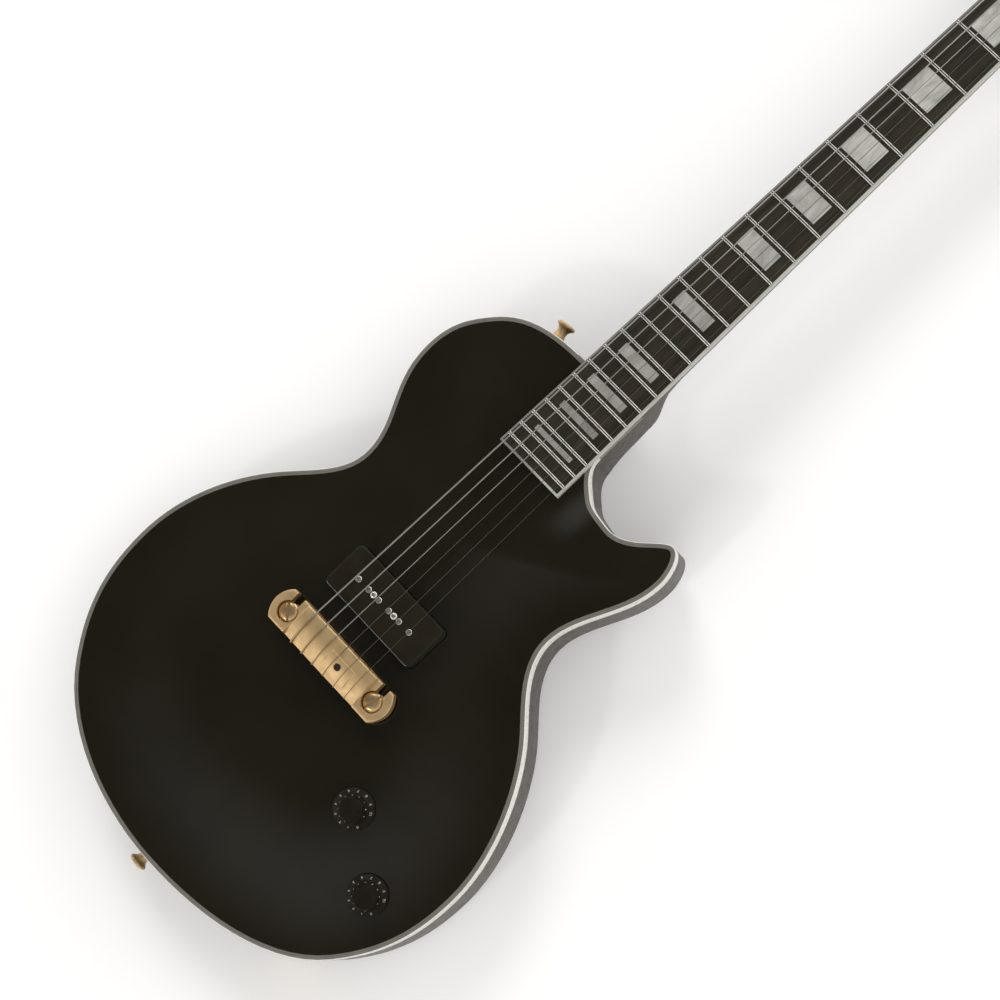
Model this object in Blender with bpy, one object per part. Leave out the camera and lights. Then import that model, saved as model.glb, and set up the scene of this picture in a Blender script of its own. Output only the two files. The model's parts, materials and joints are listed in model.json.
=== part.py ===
"""Single-cutaway electric guitar with one soap-bar pickup and a wraparound bridge.

Lengths are in millimetres. The body frame has x toward the nut, y toward the bass side and z up from
the back, with its origin under the string contact line of the bridge.
"""
import math

import bmesh
import bpy
import numpy
from mathutils import Matrix, Vector, geometry

MM = 0.001
GAP = 0.3

# Strings, fretboard and neck
SCALE = 628.65
FRETS = 22
JOINT_FRET = 16
NUT_WIDTH = 42.5
LAST_FRET_WIDTH = 57.0
BOARD_LENGTH = 460.0
BOARD_THICK = 6.0
BOARD_RADIUS = 305.0
BOARD_OVER_RIM = 7.0
BOARD_BINDING = 1.5
NECK_ANGLE = 4.0
NECK_DEPTH_NUT = 15.0
NECK_DEPTH_MID = 18.0
CROWN_WIDE = 2.6
CROWN_HIGH = 1.0
INLAY_FRETS = (1, 3, 5, 7, 9, 12, 15, 17, 19, 21)
INLAY_MARGIN = 3.7
INLAY_WIDE_NUT = 21.5
INLAY_WIDENING = 0.03
INLAY_THICK = 1.5
INLAY_FOOT = 3.0
TANG_THICK = 0.6
RAIL_OFF_CENTRE = 1.5
RAIL_WIDE = 3.0
RAIL_THICK = 1.0
NUT_LONG = 4.7
NUT_OVER_BOARD = 2.4
STRING_OVER_BOARD = 1.8
STRING_SIZES = (0.254, 0.330, 0.432, 0.660, 0.914, 1.168)
SPREAD_NUT = 35.5
SPREAD_BRIDGE = 54.0

# Body
BACK = -4.0
RIM = 50.0
BODY_END = 247.0
CARVE_HEIGHT = 12.0
CARVE_REACH = 110.0
RISE_START = 130.0
RISE_LONG = 40.0
RISE_HALF = 29.0
RISE_FADE = 30.0
BINDING_WIDE = 3.5
BINDING_DEEP = 12.0
BACK_ROUND = 6.0
TENON_HALF = 20.0
TENON_LOW = 16.0
TENON_INTO_HEEL = 3.0
HEEL_LOW = BACK + 7
JOINT_Y = -28.3
EDGE_STEPS = 5
TOP_GRID = 24.0

# Headstock and tuners
HEAD_ANGLE = 14.0
HEAD_START = 5.5
HEAD_DROP = 5.0
HEAD_THICK = 13.0
OVERLAY = 2.0
POST_X = (52.0, 92.0, 132.0)
POST_Y = 27.0
POST_R = 3.0
POST_TOP = 16.0
GEAR_R = 5.2
GEAR_THICK = 3.0
GEAR_Z = -18.5
WORM_R = 2.5
BUTTON_START = 44.0
BUTTON_LONG = 15.0
HOUSING_HIGH = 10.4
HOUSING_HALF_Y = 8.0
WIND_TOP = 9.5
WIND_TURNS = 2
TRUSS_R = 3.0
TRUSS_LONG = BOARD_LENGTH - 20
HEAD_ROOT = 36.0
TRUSS_Z = -9.7
ROD_COVER = ((4.0, 11.0), (12.0, 11.0), (34.0, 6.0), (44.0, 3.0))
ROD_COVER_THICK = 1.8

# Pickup
PICKUP_X = 33.2
PICKUP_LONG = 85.5
PICKUP_WIDE = 36.0
PICKUP_TOP = RIM + 19
COVER_WALL = 1.5
POLE_PITCH = 10.2
POLE_R = 2.2
PICKUP_SCREW_Y = 10.2
PICKUP_SCREW_R = 1.5
POCKET_FLOOR = RIM - 4

# Bridge
BAR_FRONT = -2.5
BAR_BACK = -29.0
BAR_LOW = RIM + 16.5
BAR_TOP = BAR_LOW + 12
BAR_HALF = 56.3
END_BULGE = 5.9
EAR_START = BAR_HALF - 21.8
EAR_TOP = BAR_LOW + 8.3
STUD_X = -16.6
STUD_Y = BAR_HALF - 13.1
STUD_HEAD_R = 6.4
RECESS_R = STUD_HEAD_R + 1.5
STUD_NECK_R = 4.0
STUD_COLLAR_R = 6.0
STUD_TURN = 35.0
BUSHING_TOP = RIM + 12.6
EAR_THICK = 4.0
BUSHING_R = 5.75
STRING_HOLE_Z = BAR_LOW + 3.5
STRING_HOLE_R = 1.0
BALL_R = 2.0

# Controls
VOLUME_AT = (-75.8, -84.4)
TONE_AT = (-109.4, -131.4)
KNOB_R = 14.6
KNOB_HIGH = 15.5
HAT_R = 10.2
SHAFT_R = 3.0
POT_R = 12.0
POT_HIGH = 9.0
POT_NECK_R = 4.75
CAVITY_R = 21.0
COVER_LIP = 3.5
COVER_THICK = 2.5
JACK_Z = 18.0
JACK_PLATE = (34.0, 28.0)
JACK_PLATE_THICK = 2.0
JACK_SEAT = 2.0
JACK_NECK_R = 4.8
JACK_NUT_R = 6.4
JACK_BORE_R = 3.3
STRAP_SHANK_R = 1.7
STRAP_RIM_R = 7.0
STRAP_Z = 25.0

# Body edge seen from above: x, y, heading in degrees, handle before, handle after
EDGE_KNOTS = (
    (BODY_END, 27.5, 90, 0, 29),         # neck joint, bass side
    (223.7, 97.6, 139, 18.7, 19.0),      # shoulder
    (177.1, 116.7, 180, 20.7, 37.3),     # upper bout
    (96.3, 92.3, 180, 28.8, 22.4),       # bass waist
    (38.8, 129.4, 141, 26.1, 34.4),      # bass hip
    (-57.0, 165.7, 180, 34.3, 40.3),     # lower bout, bass
    (-151.3, 133.1, 218, 35.4, 49.0),    # bass seat
    (-207.1, -4.1, 270, 49.3, 55.0),     # tail
    (-157.3, -145.5, 323, 46.1, 33.2),   # treble seat
    (-70.0, -174.1, 0, 35.1, 42.5),      # lower bout, treble
    (41.1, -127.7, 44, 31.7, 21.8),      # treble hip
    (95.4, -93.2, 0, 22.3, 26.7),        # treble waist
    (174.3, -118.8, 0, 30.9, 10.9),      # under the horn
    (198.0, -105.9, 101, 8.2, 9.5),      # horn tip
    (177.7, -65.3, 84, 19.0, 17.9),      # floor of the cutaway
    (186.5, -39.7, 50, 9.4, 7.0),        # cutaway against the neck
    (204.0, JOINT_Y, 4, 8.0, 14.0),      # edge beside the fretboard
    (BODY_END, JOINT_Y, 0, 14, 0),       # neck joint, treble side
)

# Heel: distance from the joint, share of the joint's depth, squareness of the section
HEEL_MARKS = (
    (4.0, 0.97, 4.2),
    (10.0, 0.80, 3.7),
    (17.0, 0.45, 3.0),
    (26.0, 0.14, 2.6),
    (40.0, 0.0, 2.3),
)

# Rounding of the back corner from the cutaway to the neck: x, width, height
SCOOP_MARKS = (
    (199.0, 4.0, 8.0),
    (208.0, 9.0, 24.0),
    (218.0, 15.0, 42.0),
    (BODY_END + 5, 16.0, 44.0),
)

# Headstock edge on the bass side: x, y, heading in degrees, handle before, handle after
HEAD_KNOTS = (
    (0.0, NUT_WIDTH / 2, 4, 0, 5),
    (42.0, 37.0, 8, 17, 10),
    (165.0, 41.0, 2, 30, 4),
    (172.0, 36.0, 270, 3, 12),
    (182.0, 0.0, 270, 14, 0),
)

# Colour, roughness, metalness of each kind of surface
LOOKS = {
    "black": ((0.012, 0.010, 0.008), 0.12, 0.0),
    "ivory": ((0.78, 0.76, 0.70), 0.35, 0.0),
    "ebony": ((0.030, 0.024, 0.019), 0.45, 0.0),
    "pearl": ((0.45, 0.44, 0.41), 0.25, 0.0),
    "nickel": ((0.60, 0.59, 0.57), 0.25, 1.0),
    "gold": ((0.60, 0.42, 0.20), 0.25, 1.0),
    "plastic": ((0.014, 0.013, 0.012), 0.35, 0.0),
    "copper": ((0.40, 0.17, 0.08), 0.40, 0.0),
}

for old in list(bpy.data.objects):
    bpy.data.objects.remove(old)
GUITAR = bpy.data.collections.new("electric_guitar")
CUTTERS = bpy.data.collections.new("cutters")
bpy.context.scene.collection.children.link(GUITAR)
bpy.context.scene.collection.children.link(CUTTERS)
ROOT = bpy.data.objects.new("electric_guitar_frame", None)
GUITAR.objects.link(ROOT)


def fret_at(number):
    """Distance of a fret from the nut."""
    return SCALE * (1 - 2 ** (-number / 12))


def half_width(distance):
    """Half the fretboard's width at a distance from the nut."""
    return 0.5 * (NUT_WIDTH + (LAST_FRET_WIDTH - NUT_WIDTH) * distance / fret_at(FRETS))


def sag(y):
    """Drop of the arched fretboard at a distance from its centre line."""
    return y * y / (2 * BOARD_RADIUS)


# Frames: the neck's starts at the nut on the fretboard's face, the headstock's behind the nut
TILT = math.radians(NECK_ANGLE)
NUT_AT = Vector((SCALE * math.cos(TILT), 0,
                 RIM + BOARD_OVER_RIM - fret_at(JOINT_FRET) * math.sin(TILT)))
BODY = Matrix.Identity(4)
NECK = Matrix.Translation(NUT_AT) @ Matrix.Rotation(TILT, 4, "Y")
HEAD = (NECK @ Matrix.Translation((HEAD_START, 0, -HEAD_DROP))
        @ Matrix.Rotation(math.radians(HEAD_ANGLE), 4, "Y"))
CAP_LOW = RIM - BINDING_DEEP
BED = -BOARD_THICK - GAP


def axis_frame(point, direction):
    """Frame at a point with z along the direction and x kept level."""
    z_axis = Vector(direction).normalized()
    guide = Vector((0, 0, 1)) if abs(z_axis.z) < 0.9 else Vector((0, 1, 0))
    x_axis = guide.cross(z_axis).normalized()
    turn = Matrix((x_axis, z_axis.cross(x_axis), z_axis)).transposed().to_4x4()
    return Matrix.Translation(point) @ turn


def material(name, look):
    """Principled material of one piece."""
    colour, rough, metal = LOOKS[look]
    made = bpy.data.materials.new(name)
    made.use_nodes = True
    shader = made.node_tree.nodes["Principled BSDF"]
    shader.inputs["Base Color"].default_value = (*colour, 1)
    shader.inputs["Roughness"].default_value = rough
    shader.inputs["Metallic"].default_value = metal
    return made


def register(thing, look, cutter):
    """Put an object in its collection under the guitar's frame."""
    thing.parent = ROOT
    if cutter:
        CUTTERS.objects.link(thing)
        thing.hide_render = True
        thing.display_type = "WIRE"
    else:
        GUITAR.objects.link(thing)
        thing.data.materials.append(material(thing.name, look))
    return thing


def solid(name, shape, frame=BODY, look="black", origin=(0, 0, 0), cutter=False):
    """One closed mesh from points and faces given in a frame, with its own origin."""
    points, faces = shape
    base = Vector(origin)
    build = bmesh.new()
    corners = [build.verts.new((frame @ Vector(p) - base) * MM) for p in points]
    for face in faces:
        build.faces.new([corners[i] for i in face])
    bmesh.ops.recalc_face_normals(build, faces=build.faces)
    mesh = bpy.data.meshes.new(name)
    build.to_mesh(mesh)
    build.free()
    thing = bpy.data.objects.new(name, mesh)
    thing.location = base * MM
    return register(thing, look, cutter)


def combine(thing, tool, operation="DIFFERENCE"):
    """Cut a tool out of a piece, or join it on."""
    step = thing.modifiers.new(tool.name, "BOOLEAN")
    step.operation = operation
    step.solver = "EXACT"
    step.object = tool


def loft(rings, closed=False):
    """Skin over rings of equal count, capped at both ends or closed on itself."""
    count = len(rings[0])
    points = [p for ring in rings for p in ring]
    faces = []
    for i in range(len(rings) if closed else len(rings) - 1):
        a = i * count
        b = (i + 1) % len(rings) * count
        for j in range(count):
            k = (j + 1) % count
            faces.append((a + j, a + k, b + k, b + j))
    if not closed:
        faces.append(tuple(range(count)))
        faces.append(tuple(range(len(points) - count, len(points))))
    return points, faces


def prism(outline, low, high):
    """Flat outline raised from one height to another."""
    return loft([[(x, y, z) for x, y in outline] for z in (low, high)])


def block(x0, x1, y0, y1, z0, z1):
    """Plain box."""
    return prism([(x0, y0), (x1, y0), (x1, y1), (x0, y1)], z0, z1)


def circle(radius, sides, x=0.0, y=0.0):
    """Points of a circle."""
    turns = [2 * math.pi * i / sides for i in range(sides)]
    return [(x + radius * math.cos(a), y + radius * math.sin(a)) for a in turns]


def lathe(profile, sides=12, closed=False):
    """Solid turned about z from radius and height pairs."""
    return loft([[(x, y, z) for x, y in circle(r, sides)] for r, z in profile], closed)


def rod(radius, low, high, sides=12, x=0.0, y=0.0):
    """Plain cylinder along z."""
    return prism(circle(radius, sides, x, y), low, high)


def rounded(x_half, y_half, radius, steps=3, x=0.0, y=0.0):
    """Rectangle with rounded corners."""
    outline = []
    for turn, (sx, sy) in enumerate(((1, 1), (-1, 1), (-1, -1), (1, -1))):
        for i in range(steps + 1):
            a = math.pi / 2 * (turn + i / steps)
            outline.append((x + sx * (x_half - radius) + radius * math.cos(a),
                            y + sy * (y_half - radius) + radius * math.sin(a)))
    return outline


def capsule(start, end, radius, steps=8):
    """Slot outline round two centres."""
    along = math.atan2(end[1] - start[1], end[0] - start[0])
    outline = []
    for centre, turn in ((end, -0.5), (start, 0.5)):
        for i in range(steps + 1):
            a = along + math.pi * (turn + i / steps)
            outline.append((centre[0] + radius * math.cos(a), centre[1] + radius * math.sin(a)))
    return outline


def curve_points(knots, steps):
    """Points along a chain of curves through knots with headings and handles."""
    points = []
    for a, b in zip(knots, knots[1:]):
        go = Vector((math.cos(math.radians(a[2])), math.sin(math.radians(a[2]))))
        come = Vector((math.cos(math.radians(b[2])), math.sin(math.radians(b[2]))))
        start, end = Vector(a[:2]), Vector(b[:2])
        chain = geometry.interpolate_bezier(start, start + go * a[4], end - come * b[3], end, steps + 1)
        points += [tuple(p) for p in chain[:-1]]
    return points + [tuple(knots[-1][:2])]


def inset(outline, amount):
    """Outline moved inward, with mitred corners."""
    moved = []
    count = len(outline)
    for i, point in enumerate(outline):
        before = (Vector(point) - Vector(outline[i - 1])).normalized()
        after = (Vector(outline[(i + 1) % count]) - Vector(point)).normalized()
        n1 = Vector((-before.y, before.x))
        n2 = Vector((-after.y, after.x))
        shift = (n1 + n2) * (amount / (1 + n1.dot(n2)))
        moved.append((point[0] + shift.x, point[1] + shift.y))
    return moved


EDGE = curve_points(EDGE_KNOTS, EDGE_STEPS)


def smooth(value):
    """Ease from 0 to 1."""
    u = min(max(value, 0.0), 1.0)
    return u * u * (3 - 2 * u)


def edge_distance(x, y):
    """Distance of a point from the body's edge."""
    here = Vector((x, y))
    best = 1e9
    for a, b in zip(EDGE, EDGE[1:] + EDGE[:1]):
        a, b = Vector(a), Vector(b)
        along = b - a
        part = min(max((here - a).dot(along) / along.length_squared, 0), 1)
        best = min(best, (a + along * part - here).length)
    return best


def bed_height(x):
    """Height in the body of the plane under the fretboard."""
    return NUT_AT.z + (NUT_AT.x - x) * math.tan(TILT) + BED / math.cos(TILT)


def top_height(x, y):
    """Height of the carved top, which meets the fretboard's bed along the neck."""
    carve = RIM + CARVE_HEIGHT * smooth(edge_distance(x, y) / CARVE_REACH)
    near = (1 - smooth((abs(y) - RISE_HALF) / RISE_FADE)) * smooth((x - RISE_START) / RISE_LONG)
    return carve + (bed_height(x) - carve) * near


def top_normal(x, y):
    """Direction square to the carved top."""
    step = 4.0
    dx = (top_height(x + step, y) - top_height(x - step, y)) / (2 * step)
    dy = (top_height(x, y + step) - top_height(x, y - step)) / (2 * step)
    return Vector((-dx, -dy, 1)).normalized()


def edge_frame(index, height, part=0.0):
    """Frame on the body's side wall, z outward."""
    a, b = Vector(EDGE[index]), Vector(EDGE[index + 1])
    along = (b - a).normalized()
    at = a + (b - a) * part
    return axis_frame((at.x, at.y, height), (along.y, -along.x, 0))


# Frames of the controls, square to the carved top, and of the pieces on the side wall
VOLUME = axis_frame((*VOLUME_AT, top_height(*VOLUME_AT)), top_normal(*VOLUME_AT))
TONE = axis_frame((*TONE_AT, top_height(*TONE_AT)), top_normal(*TONE_AT))
JACK = edge_frame(38, JACK_Z, 0.7)
STRAP_SHOULDER = edge_frame(1, STRAP_Z, 0.85)
STRAP_TAIL = edge_frame(34, STRAP_Z, 0.77)


def board_footprint(low, high, extra):
    """Solid over the fretboard's plan with a margin, in the neck frame."""
    rings = []
    for distance in (-extra, BOARD_LENGTH + extra):
        w = half_width(distance) + extra
        rings.append([(-distance, -w, low), (-distance, w, low),
                      (-distance, w, high), (-distance, -w, high)])
    return loft(rings)


def mortise_cutter():
    """Room for the neck's tenon."""
    start = NUT_AT.x - BOARD_LENGTH * math.cos(TILT) - GAP
    return solid("mortise", block(start, BODY_END + 20, -TENON_HALF - GAP, TENON_HALF + GAP,
                                  TENON_LOW - GAP, RIM + 30), cutter=True)


MORTISE = mortise_cutter()
BOARD_BED = solid("board_bed", board_footprint(BED - 0.05, 30, GAP), NECK, cutter=True)


def heel_scoop():
    """Waste outside the rounded back corner between the cutaway and the neck."""
    rings = []
    for x, wide, high in SCOOP_MARKS:
        ring = [(x, JOINT_Y + wide, BACK - 10)]
        for i in range(7):
            a = math.pi / 2 * (1 - i / 6)
            ring.append((x, JOINT_Y + wide * (1 - math.cos(a)), BACK + high * (1 - math.sin(a))))
        ring += [(x, JOINT_Y - 20, BACK + high), (x, JOINT_Y - 20, BACK - 10)]
        rings.append(ring)
    return solid("heel_scoop", loft(rings), cutter=True)


def body_back():
    """Main block of the body with its rounded back edge and its rooms."""
    rings = []
    for share in (0.0, 0.25, 0.55, 1.0):
        angle = share * math.pi / 2
        points = inset(EDGE, BACK_ROUND * (1 - math.sin(angle)))
        height = BACK + BACK_ROUND * (1 - math.cos(angle))
        rings.append([(x, y, height) for x, y in points])
    rings.append([(x, y, CAP_LOW - GAP) for x, y in EDGE])
    body = solid("body_back", loft(rings))
    combine(body, heel_scoop())
    combine(body, MORTISE)
    cavity = capsule(VOLUME_AT, TONE_AT, CAVITY_R)
    combine(body, solid("control_cavity", prism(cavity, BACK - 5, RIM), cutter=True))
    lid = capsule(VOLUME_AT, TONE_AT, CAVITY_R + COVER_LIP + GAP)
    combine(body, solid("cover_recess", prism(lid, BACK - 5, BACK + COVER_THICK + GAP), cutter=True))
    half_x, half_y = JACK_PLATE[0] / 2 + GAP, JACK_PLATE[1] / 2 + GAP
    seat = block(-half_x, half_x, -half_y, half_y, -JACK_SEAT, 12)
    combine(body, solid("jack_seat", seat, JACK, cutter=True))
    combine(body, solid("jack_tunnel", rod(9.5, -26, 5, 16), JACK, cutter=True))
    for frame, name in ((STRAP_SHOULDER, "strap_hole_shoulder"), (STRAP_TAIL, "strap_hole_tail")):
        combine(body, solid(name, rod(STRAP_SHANK_R + GAP, -19, 5, 8), frame, cutter=True))


def body_top():
    """Carved cap inside the binding."""
    rim = inset(EDGE, BINDING_WIDE + GAP)
    spots = [Vector(p) for p in rim]
    row = 0
    y = -180.0
    while y < 180:
        x = -210.0 + (row % 2) * TOP_GRID / 2
        while x < 260:
            if edge_distance(x, y) > BINDING_WIDE + TOP_GRID / 2.5 and inside(rim, x, y):
                spots.append(Vector((x, y)))
            x += TOP_GRID
        y += TOP_GRID * 0.866
        row += 1
    count = len(rim)
    ring = [(i, (i + 1) % count) for i in range(count)]
    flat, _, faces, _, _, _ = geometry.delaunay_2d_cdt(spots, ring, [], 1, 0.0001)
    points = [(p.x, p.y, top_height(p.x, p.y)) for p in flat]
    base = len(points)
    points += [(x, y, CAP_LOW) for x, y in rim]
    faces = [tuple(f) for f in faces]
    faces += [(a, b, base + b, base + a) for a, b in ring]
    faces.append(tuple(range(base, base + count)))
    top = solid("body_top", (points, faces))
    combine(top, MORTISE)
    combine(top, BOARD_BED)
    pocket = rounded(PICKUP_WIDE / 2 + 0.4, PICKUP_LONG / 2 + 0.4, 4.4, 3, PICKUP_X)
    combine(top, solid("pickup_pocket", prism(pocket, POCKET_FLOOR, RIM + 40), cutter=True))
    for sign, name in ((1, "bass"), (-1, "treble")):
        hole = rod(BUSHING_R + GAP, CAP_LOW + 2, RIM + 40, 14, STUD_X, sign * STUD_Y)
        combine(top, solid("bushing_hole_" + name, hole, cutter=True))
        hole = rod(PICKUP_SCREW_R + GAP, CAP_LOW + 1, RIM + 10, 8, PICKUP_X, sign * PICKUP_SCREW_Y)
        combine(top, solid("pickup_screw_hole_" + name, hole, cutter=True))
    for frame, name in ((VOLUME, "volume"), (TONE, "tone")):
        hole = rod(POT_NECK_R + GAP, -40, 20, 14)
        combine(top, solid("pot_hole_" + name, hole, frame, cutter=True))


def inside(outline, x, y):
    """Whether a spot lies within an outline."""
    within = False
    for (x0, y0), (x1, y1) in zip(outline, outline[1:] + outline[:1]):
        if (y0 > y) != (y1 > y) and x < x0 + (y - y0) * (x1 - x0) / (y1 - y0):
            within = not within
    return within


def top_binding():
    """Light band round the edge of the top."""
    rings = []
    inner = inset(EDGE, BINDING_WIDE)
    for (ax, ay), (bx, by) in zip(EDGE, inner):
        rings.append([(ax, ay, CAP_LOW), (ax, ay, top_height(ax, ay)),
                      (bx, by, top_height(bx, by)), (bx, by, CAP_LOW)])
    band = solid("top_binding", loft(rings, closed=True), look="ivory")
    combine(band, MORTISE)
    combine(band, BOARD_BED)


def neck_ring(distance, depth, power, width=None):
    """Rounded section of the neck under the fretboard."""
    w = half_width(distance) if width is None else width
    ring = []
    for i in range(11):
        a = math.pi * i / 10
        c, s = math.cos(a), math.sin(a)
        ring.append(NECK @ Vector((-distance, w * math.copysign(abs(c) ** (2 / power), c),
                                   BED - depth * abs(s) ** (2 / power))))
    return ring


def neck_rings():
    """Sections from the body joint to the inside of the headstock."""
    joint = fret_at(JOINT_FRET) + (NUT_AT.x - fret_at(JOINT_FRET) * math.cos(TILT) - BODY_END - GAP)
    depth = bed_height(BODY_END) - HEEL_LOW
    ends = neck_ring(joint, depth, 4.4)
    along = NECK.to_3x3() @ Vector((1, 0, 0))
    rings = [[p + along * ((BODY_END + GAP - p.x) / along.x) for p in ends]]
    for back, share, power in HEEL_MARKS:
        size = NECK_DEPTH_MID + (depth - NECK_DEPTH_MID) * share
        rings.append(neck_ring(joint - back, size, power))
    for distance in (250.0, 120.0, 8.0):
        share = distance / fret_at(12)
        rings.append(neck_ring(distance, NECK_DEPTH_NUT + (NECK_DEPTH_MID - NECK_DEPTH_NUT) * share, 2.3))
    rings.append(neck_ring(-4.5, NECK_DEPTH_NUT - 1.5, 2.3))
    buried = []
    for p in neck_ring(0, 1, 2.3, NUT_WIDTH / 2 - 3):
        local = NECK.inverted() @ p
        buried.append(HEAD @ Vector((HEAD_ROOT, local.y, -1.5 + (local.z - BED) * 9.5)))
    rings.append(buried)
    return rings


def head_outline(amount=0.0):
    """Plan of the headstock, both sides."""
    half = curve_points(HEAD_KNOTS, 4)
    outline = half + [(x, -y) for x, y in reversed(half[:-1])]
    return inset(outline[::-1], amount) if amount else outline


def neck():
    """Neck, heel, tenon and headstock in one piece of wood."""
    wood = solid("neck", loft(neck_rings()))
    start = NUT_AT.x - BOARD_LENGTH * math.cos(TILT)
    rings = []
    for x in (start, BODY_END + TENON_INTO_HEEL):
        high = bed_height(x) - GAP
        rings.append([(x, -TENON_HALF, TENON_LOW), (x, TENON_HALF, TENON_LOW),
                      (x, TENON_HALF, high), (x, -TENON_HALF, high)])
    combine(wood, solid("tenon", loft(rings), cutter=True), "UNION")
    slab = prism(head_outline(), -HEAD_THICK, -GAP)
    combine(wood, solid("headstock", slab, HEAD, cutter=True), "UNION")
    combine(wood, TRUSS_GROOVE)
    for number, x, side in tuners():
        hole = rod(POST_R + 0.4, -HEAD_THICK - 5, 5, 10, x, side * POST_Y)
        tool = solid("post_hole_%d" % number, hole, HEAD, cutter=True)
        POST_HOLES.append(tool)
        combine(wood, tool)


def tuners():
    """String number, place along the headstock and side of each tuner."""
    bass = [(6 - i, x, 1) for i, x in enumerate(POST_X)]
    treble = [(1 + i, x, -1) for i, x in enumerate(POST_X)]
    return bass + treble


POST_HOLES = []
GROOVE_HALF = TRUSS_R + GAP
TRUSS_GROOVE = solid("truss_groove", block(-TRUSS_LONG - GAP, 34, -GROOVE_HALF, GROOVE_HALF,
                                           TRUSS_Z - GROOVE_HALF, 4),
                     NECK, cutter=True)


def headstock_overlay():
    """Thin black face of the headstock."""
    face = solid("headstock_overlay", prism(head_outline(), 0, OVERLAY), HEAD)
    combine(face, TRUSS_GROOVE)
    for tool in POST_HOLES:
        combine(face, tool)


def truss_rod():
    """Steel rod under the fretboard, reached behind the nut."""
    frame = NECK @ Matrix.Translation((0, 0, TRUSS_Z)) @ Matrix.Rotation(math.pi / 2, 4, "Y")
    solid("truss_rod", rod(TRUSS_R, -TRUSS_LONG, 17, 8), frame, "nickel")
    plate = list(ROD_COVER) + [(x, -y) for x, y in reversed(ROD_COVER)]
    low = OVERLAY + GAP
    solid("truss_rod_cover", prism(plate, low, low + ROD_COVER_THICK), HEAD, "plastic")


def arch(x, half, low_side, steps=6):
    """Section of the fretboard at x: arched above, flat below."""
    ys = [half * (1 - 2 * i / steps) for i in range(steps + 1)]
    return [(x, -half, low_side), (x, half, low_side)] + [(x, y, -sag(y)) for y in ys]


def comb(spots, half_tooth, low, rail_top, tooth_top, y0, y1):
    """Row of teeth on a rail, seen from the side and widened from y0 to y1."""
    spots = sorted(spots)
    side = [(spots[0] - half_tooth, low)]
    side += [(spots[-1] + half_tooth, low)]
    for x in reversed(spots):
        side += [(x + half_tooth, rail_top), (x + half_tooth, tooth_top)]
        side += [(x - half_tooth, tooth_top), (x - half_tooth, rail_top)]
    del side[2]
    del side[-1]
    return loft([[(x, y, z) for x, z in side] for y in (y0, y1)])


def inlay_spans():
    """Ends and half width of each inlay block."""
    spans = []
    for number in INLAY_FRETS:
        near = fret_at(number - 1) + INLAY_MARGIN
        far = fret_at(number) - INLAY_MARGIN
        wide = INLAY_WIDE_NUT + INLAY_WIDENING * 0.5 * (near + far)
        spans.append((-far, -near, wide / 2))
    return spans


def join_all(shapes):
    """Several shapes as one list of points and faces."""
    points, faces = [], []
    for more, skin in shapes:
        faces += [tuple(i + len(points) for i in face) for face in skin]
        points += more
    return points, faces


RAIL_LOW = -BOARD_THICK + GAP
RAIL_HIGH = RAIL_LOW + RAIL_THICK
FRET_XS = [-fret_at(n) for n in range(1, FRETS + 1)]
INLAY_XS = [0.5 * (a + b) for a, b, _ in inlay_spans()]


def fretboard():
    """Dark board with slots for the frets and pockets for the inlays."""
    rings = []
    for distance in (GAP, BOARD_LENGTH - BOARD_BINDING - GAP):
        rings.append(arch(-distance, half_width(distance) - BOARD_BINDING - GAP, -BOARD_THICK))
    board = solid("fretboard", loft(rings), NECK, "ebony")
    low = -BOARD_THICK - 1
    slots = comb(FRET_XS, TANG_THICK / 2 + GAP, low, RAIL_HIGH + GAP, 2,
                 RAIL_OFF_CENTRE - GAP, RAIL_OFF_CENTRE + RAIL_WIDE + GAP)
    combine(board, solid("fret_slots", slots, NECK, cutter=True))
    pockets = []
    for a, b, w in inlay_spans():
        pockets.append(block(a - GAP, b + GAP, -w - GAP, w + GAP, -INLAY_THICK - GAP, 2))
    combine(board, solid("inlay_pockets", join_all(pockets), NECK, cutter=True))
    slots = comb(INLAY_XS, INLAY_FOOT / 2 + GAP, low, RAIL_HIGH + GAP, -1,
                 -RAIL_OFF_CENTRE - RAIL_WIDE - GAP, -RAIL_OFF_CENTRE + GAP)
    combine(board, solid("inlay_slots", slots, NECK, cutter=True))


def fretboard_binding():
    """Light strip along both sides and round the body end of the fretboard."""
    near = half_width(GAP)
    corner = half_width(BOARD_LENGTH - BOARD_BINDING)
    end = -BOARD_LENGTH
    inner = end + BOARD_BINDING
    ways = [(-GAP, -near, -GAP, BOARD_BINDING - near), (end, -corner, inner, BOARD_BINDING - corner)]
    for share in (-0.66, -0.33, 0.0, 0.33, 0.66):
        y = share * half_width(BOARD_LENGTH)
        ways.append((end, y, inner, y))
    ways += [(end, corner, inner, corner - BOARD_BINDING), (-GAP, near, -GAP, near - BOARD_BINDING)]
    sections = []
    for out_x, out_y, in_x, in_y in ways:
        high = -sag(out_y)
        sections.append([(out_x, out_y, -BOARD_THICK), (out_x, out_y, high),
                         (in_x, in_y, high), (in_x, in_y, -BOARD_THICK)])
    solid("fretboard_binding", loft(sections), NECK, "ivory")


def crown(x, half):
    """One fret wire following the arch of the board."""
    w = CROWN_WIDE / 2
    section = [(-w, GAP), (w, GAP), (0.7 * w, GAP + 0.75 * CROWN_HIGH), (0, GAP + CROWN_HIGH),
               (-0.7 * w, GAP + 0.75 * CROWN_HIGH)]
    rings = []
    for share in (-1, -0.5, 0, 0.5, 1):
        y = share * half
        rings.append([(x + dx, y, z - sag(y)) for dx, z in section])
    return loft(rings)


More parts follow.
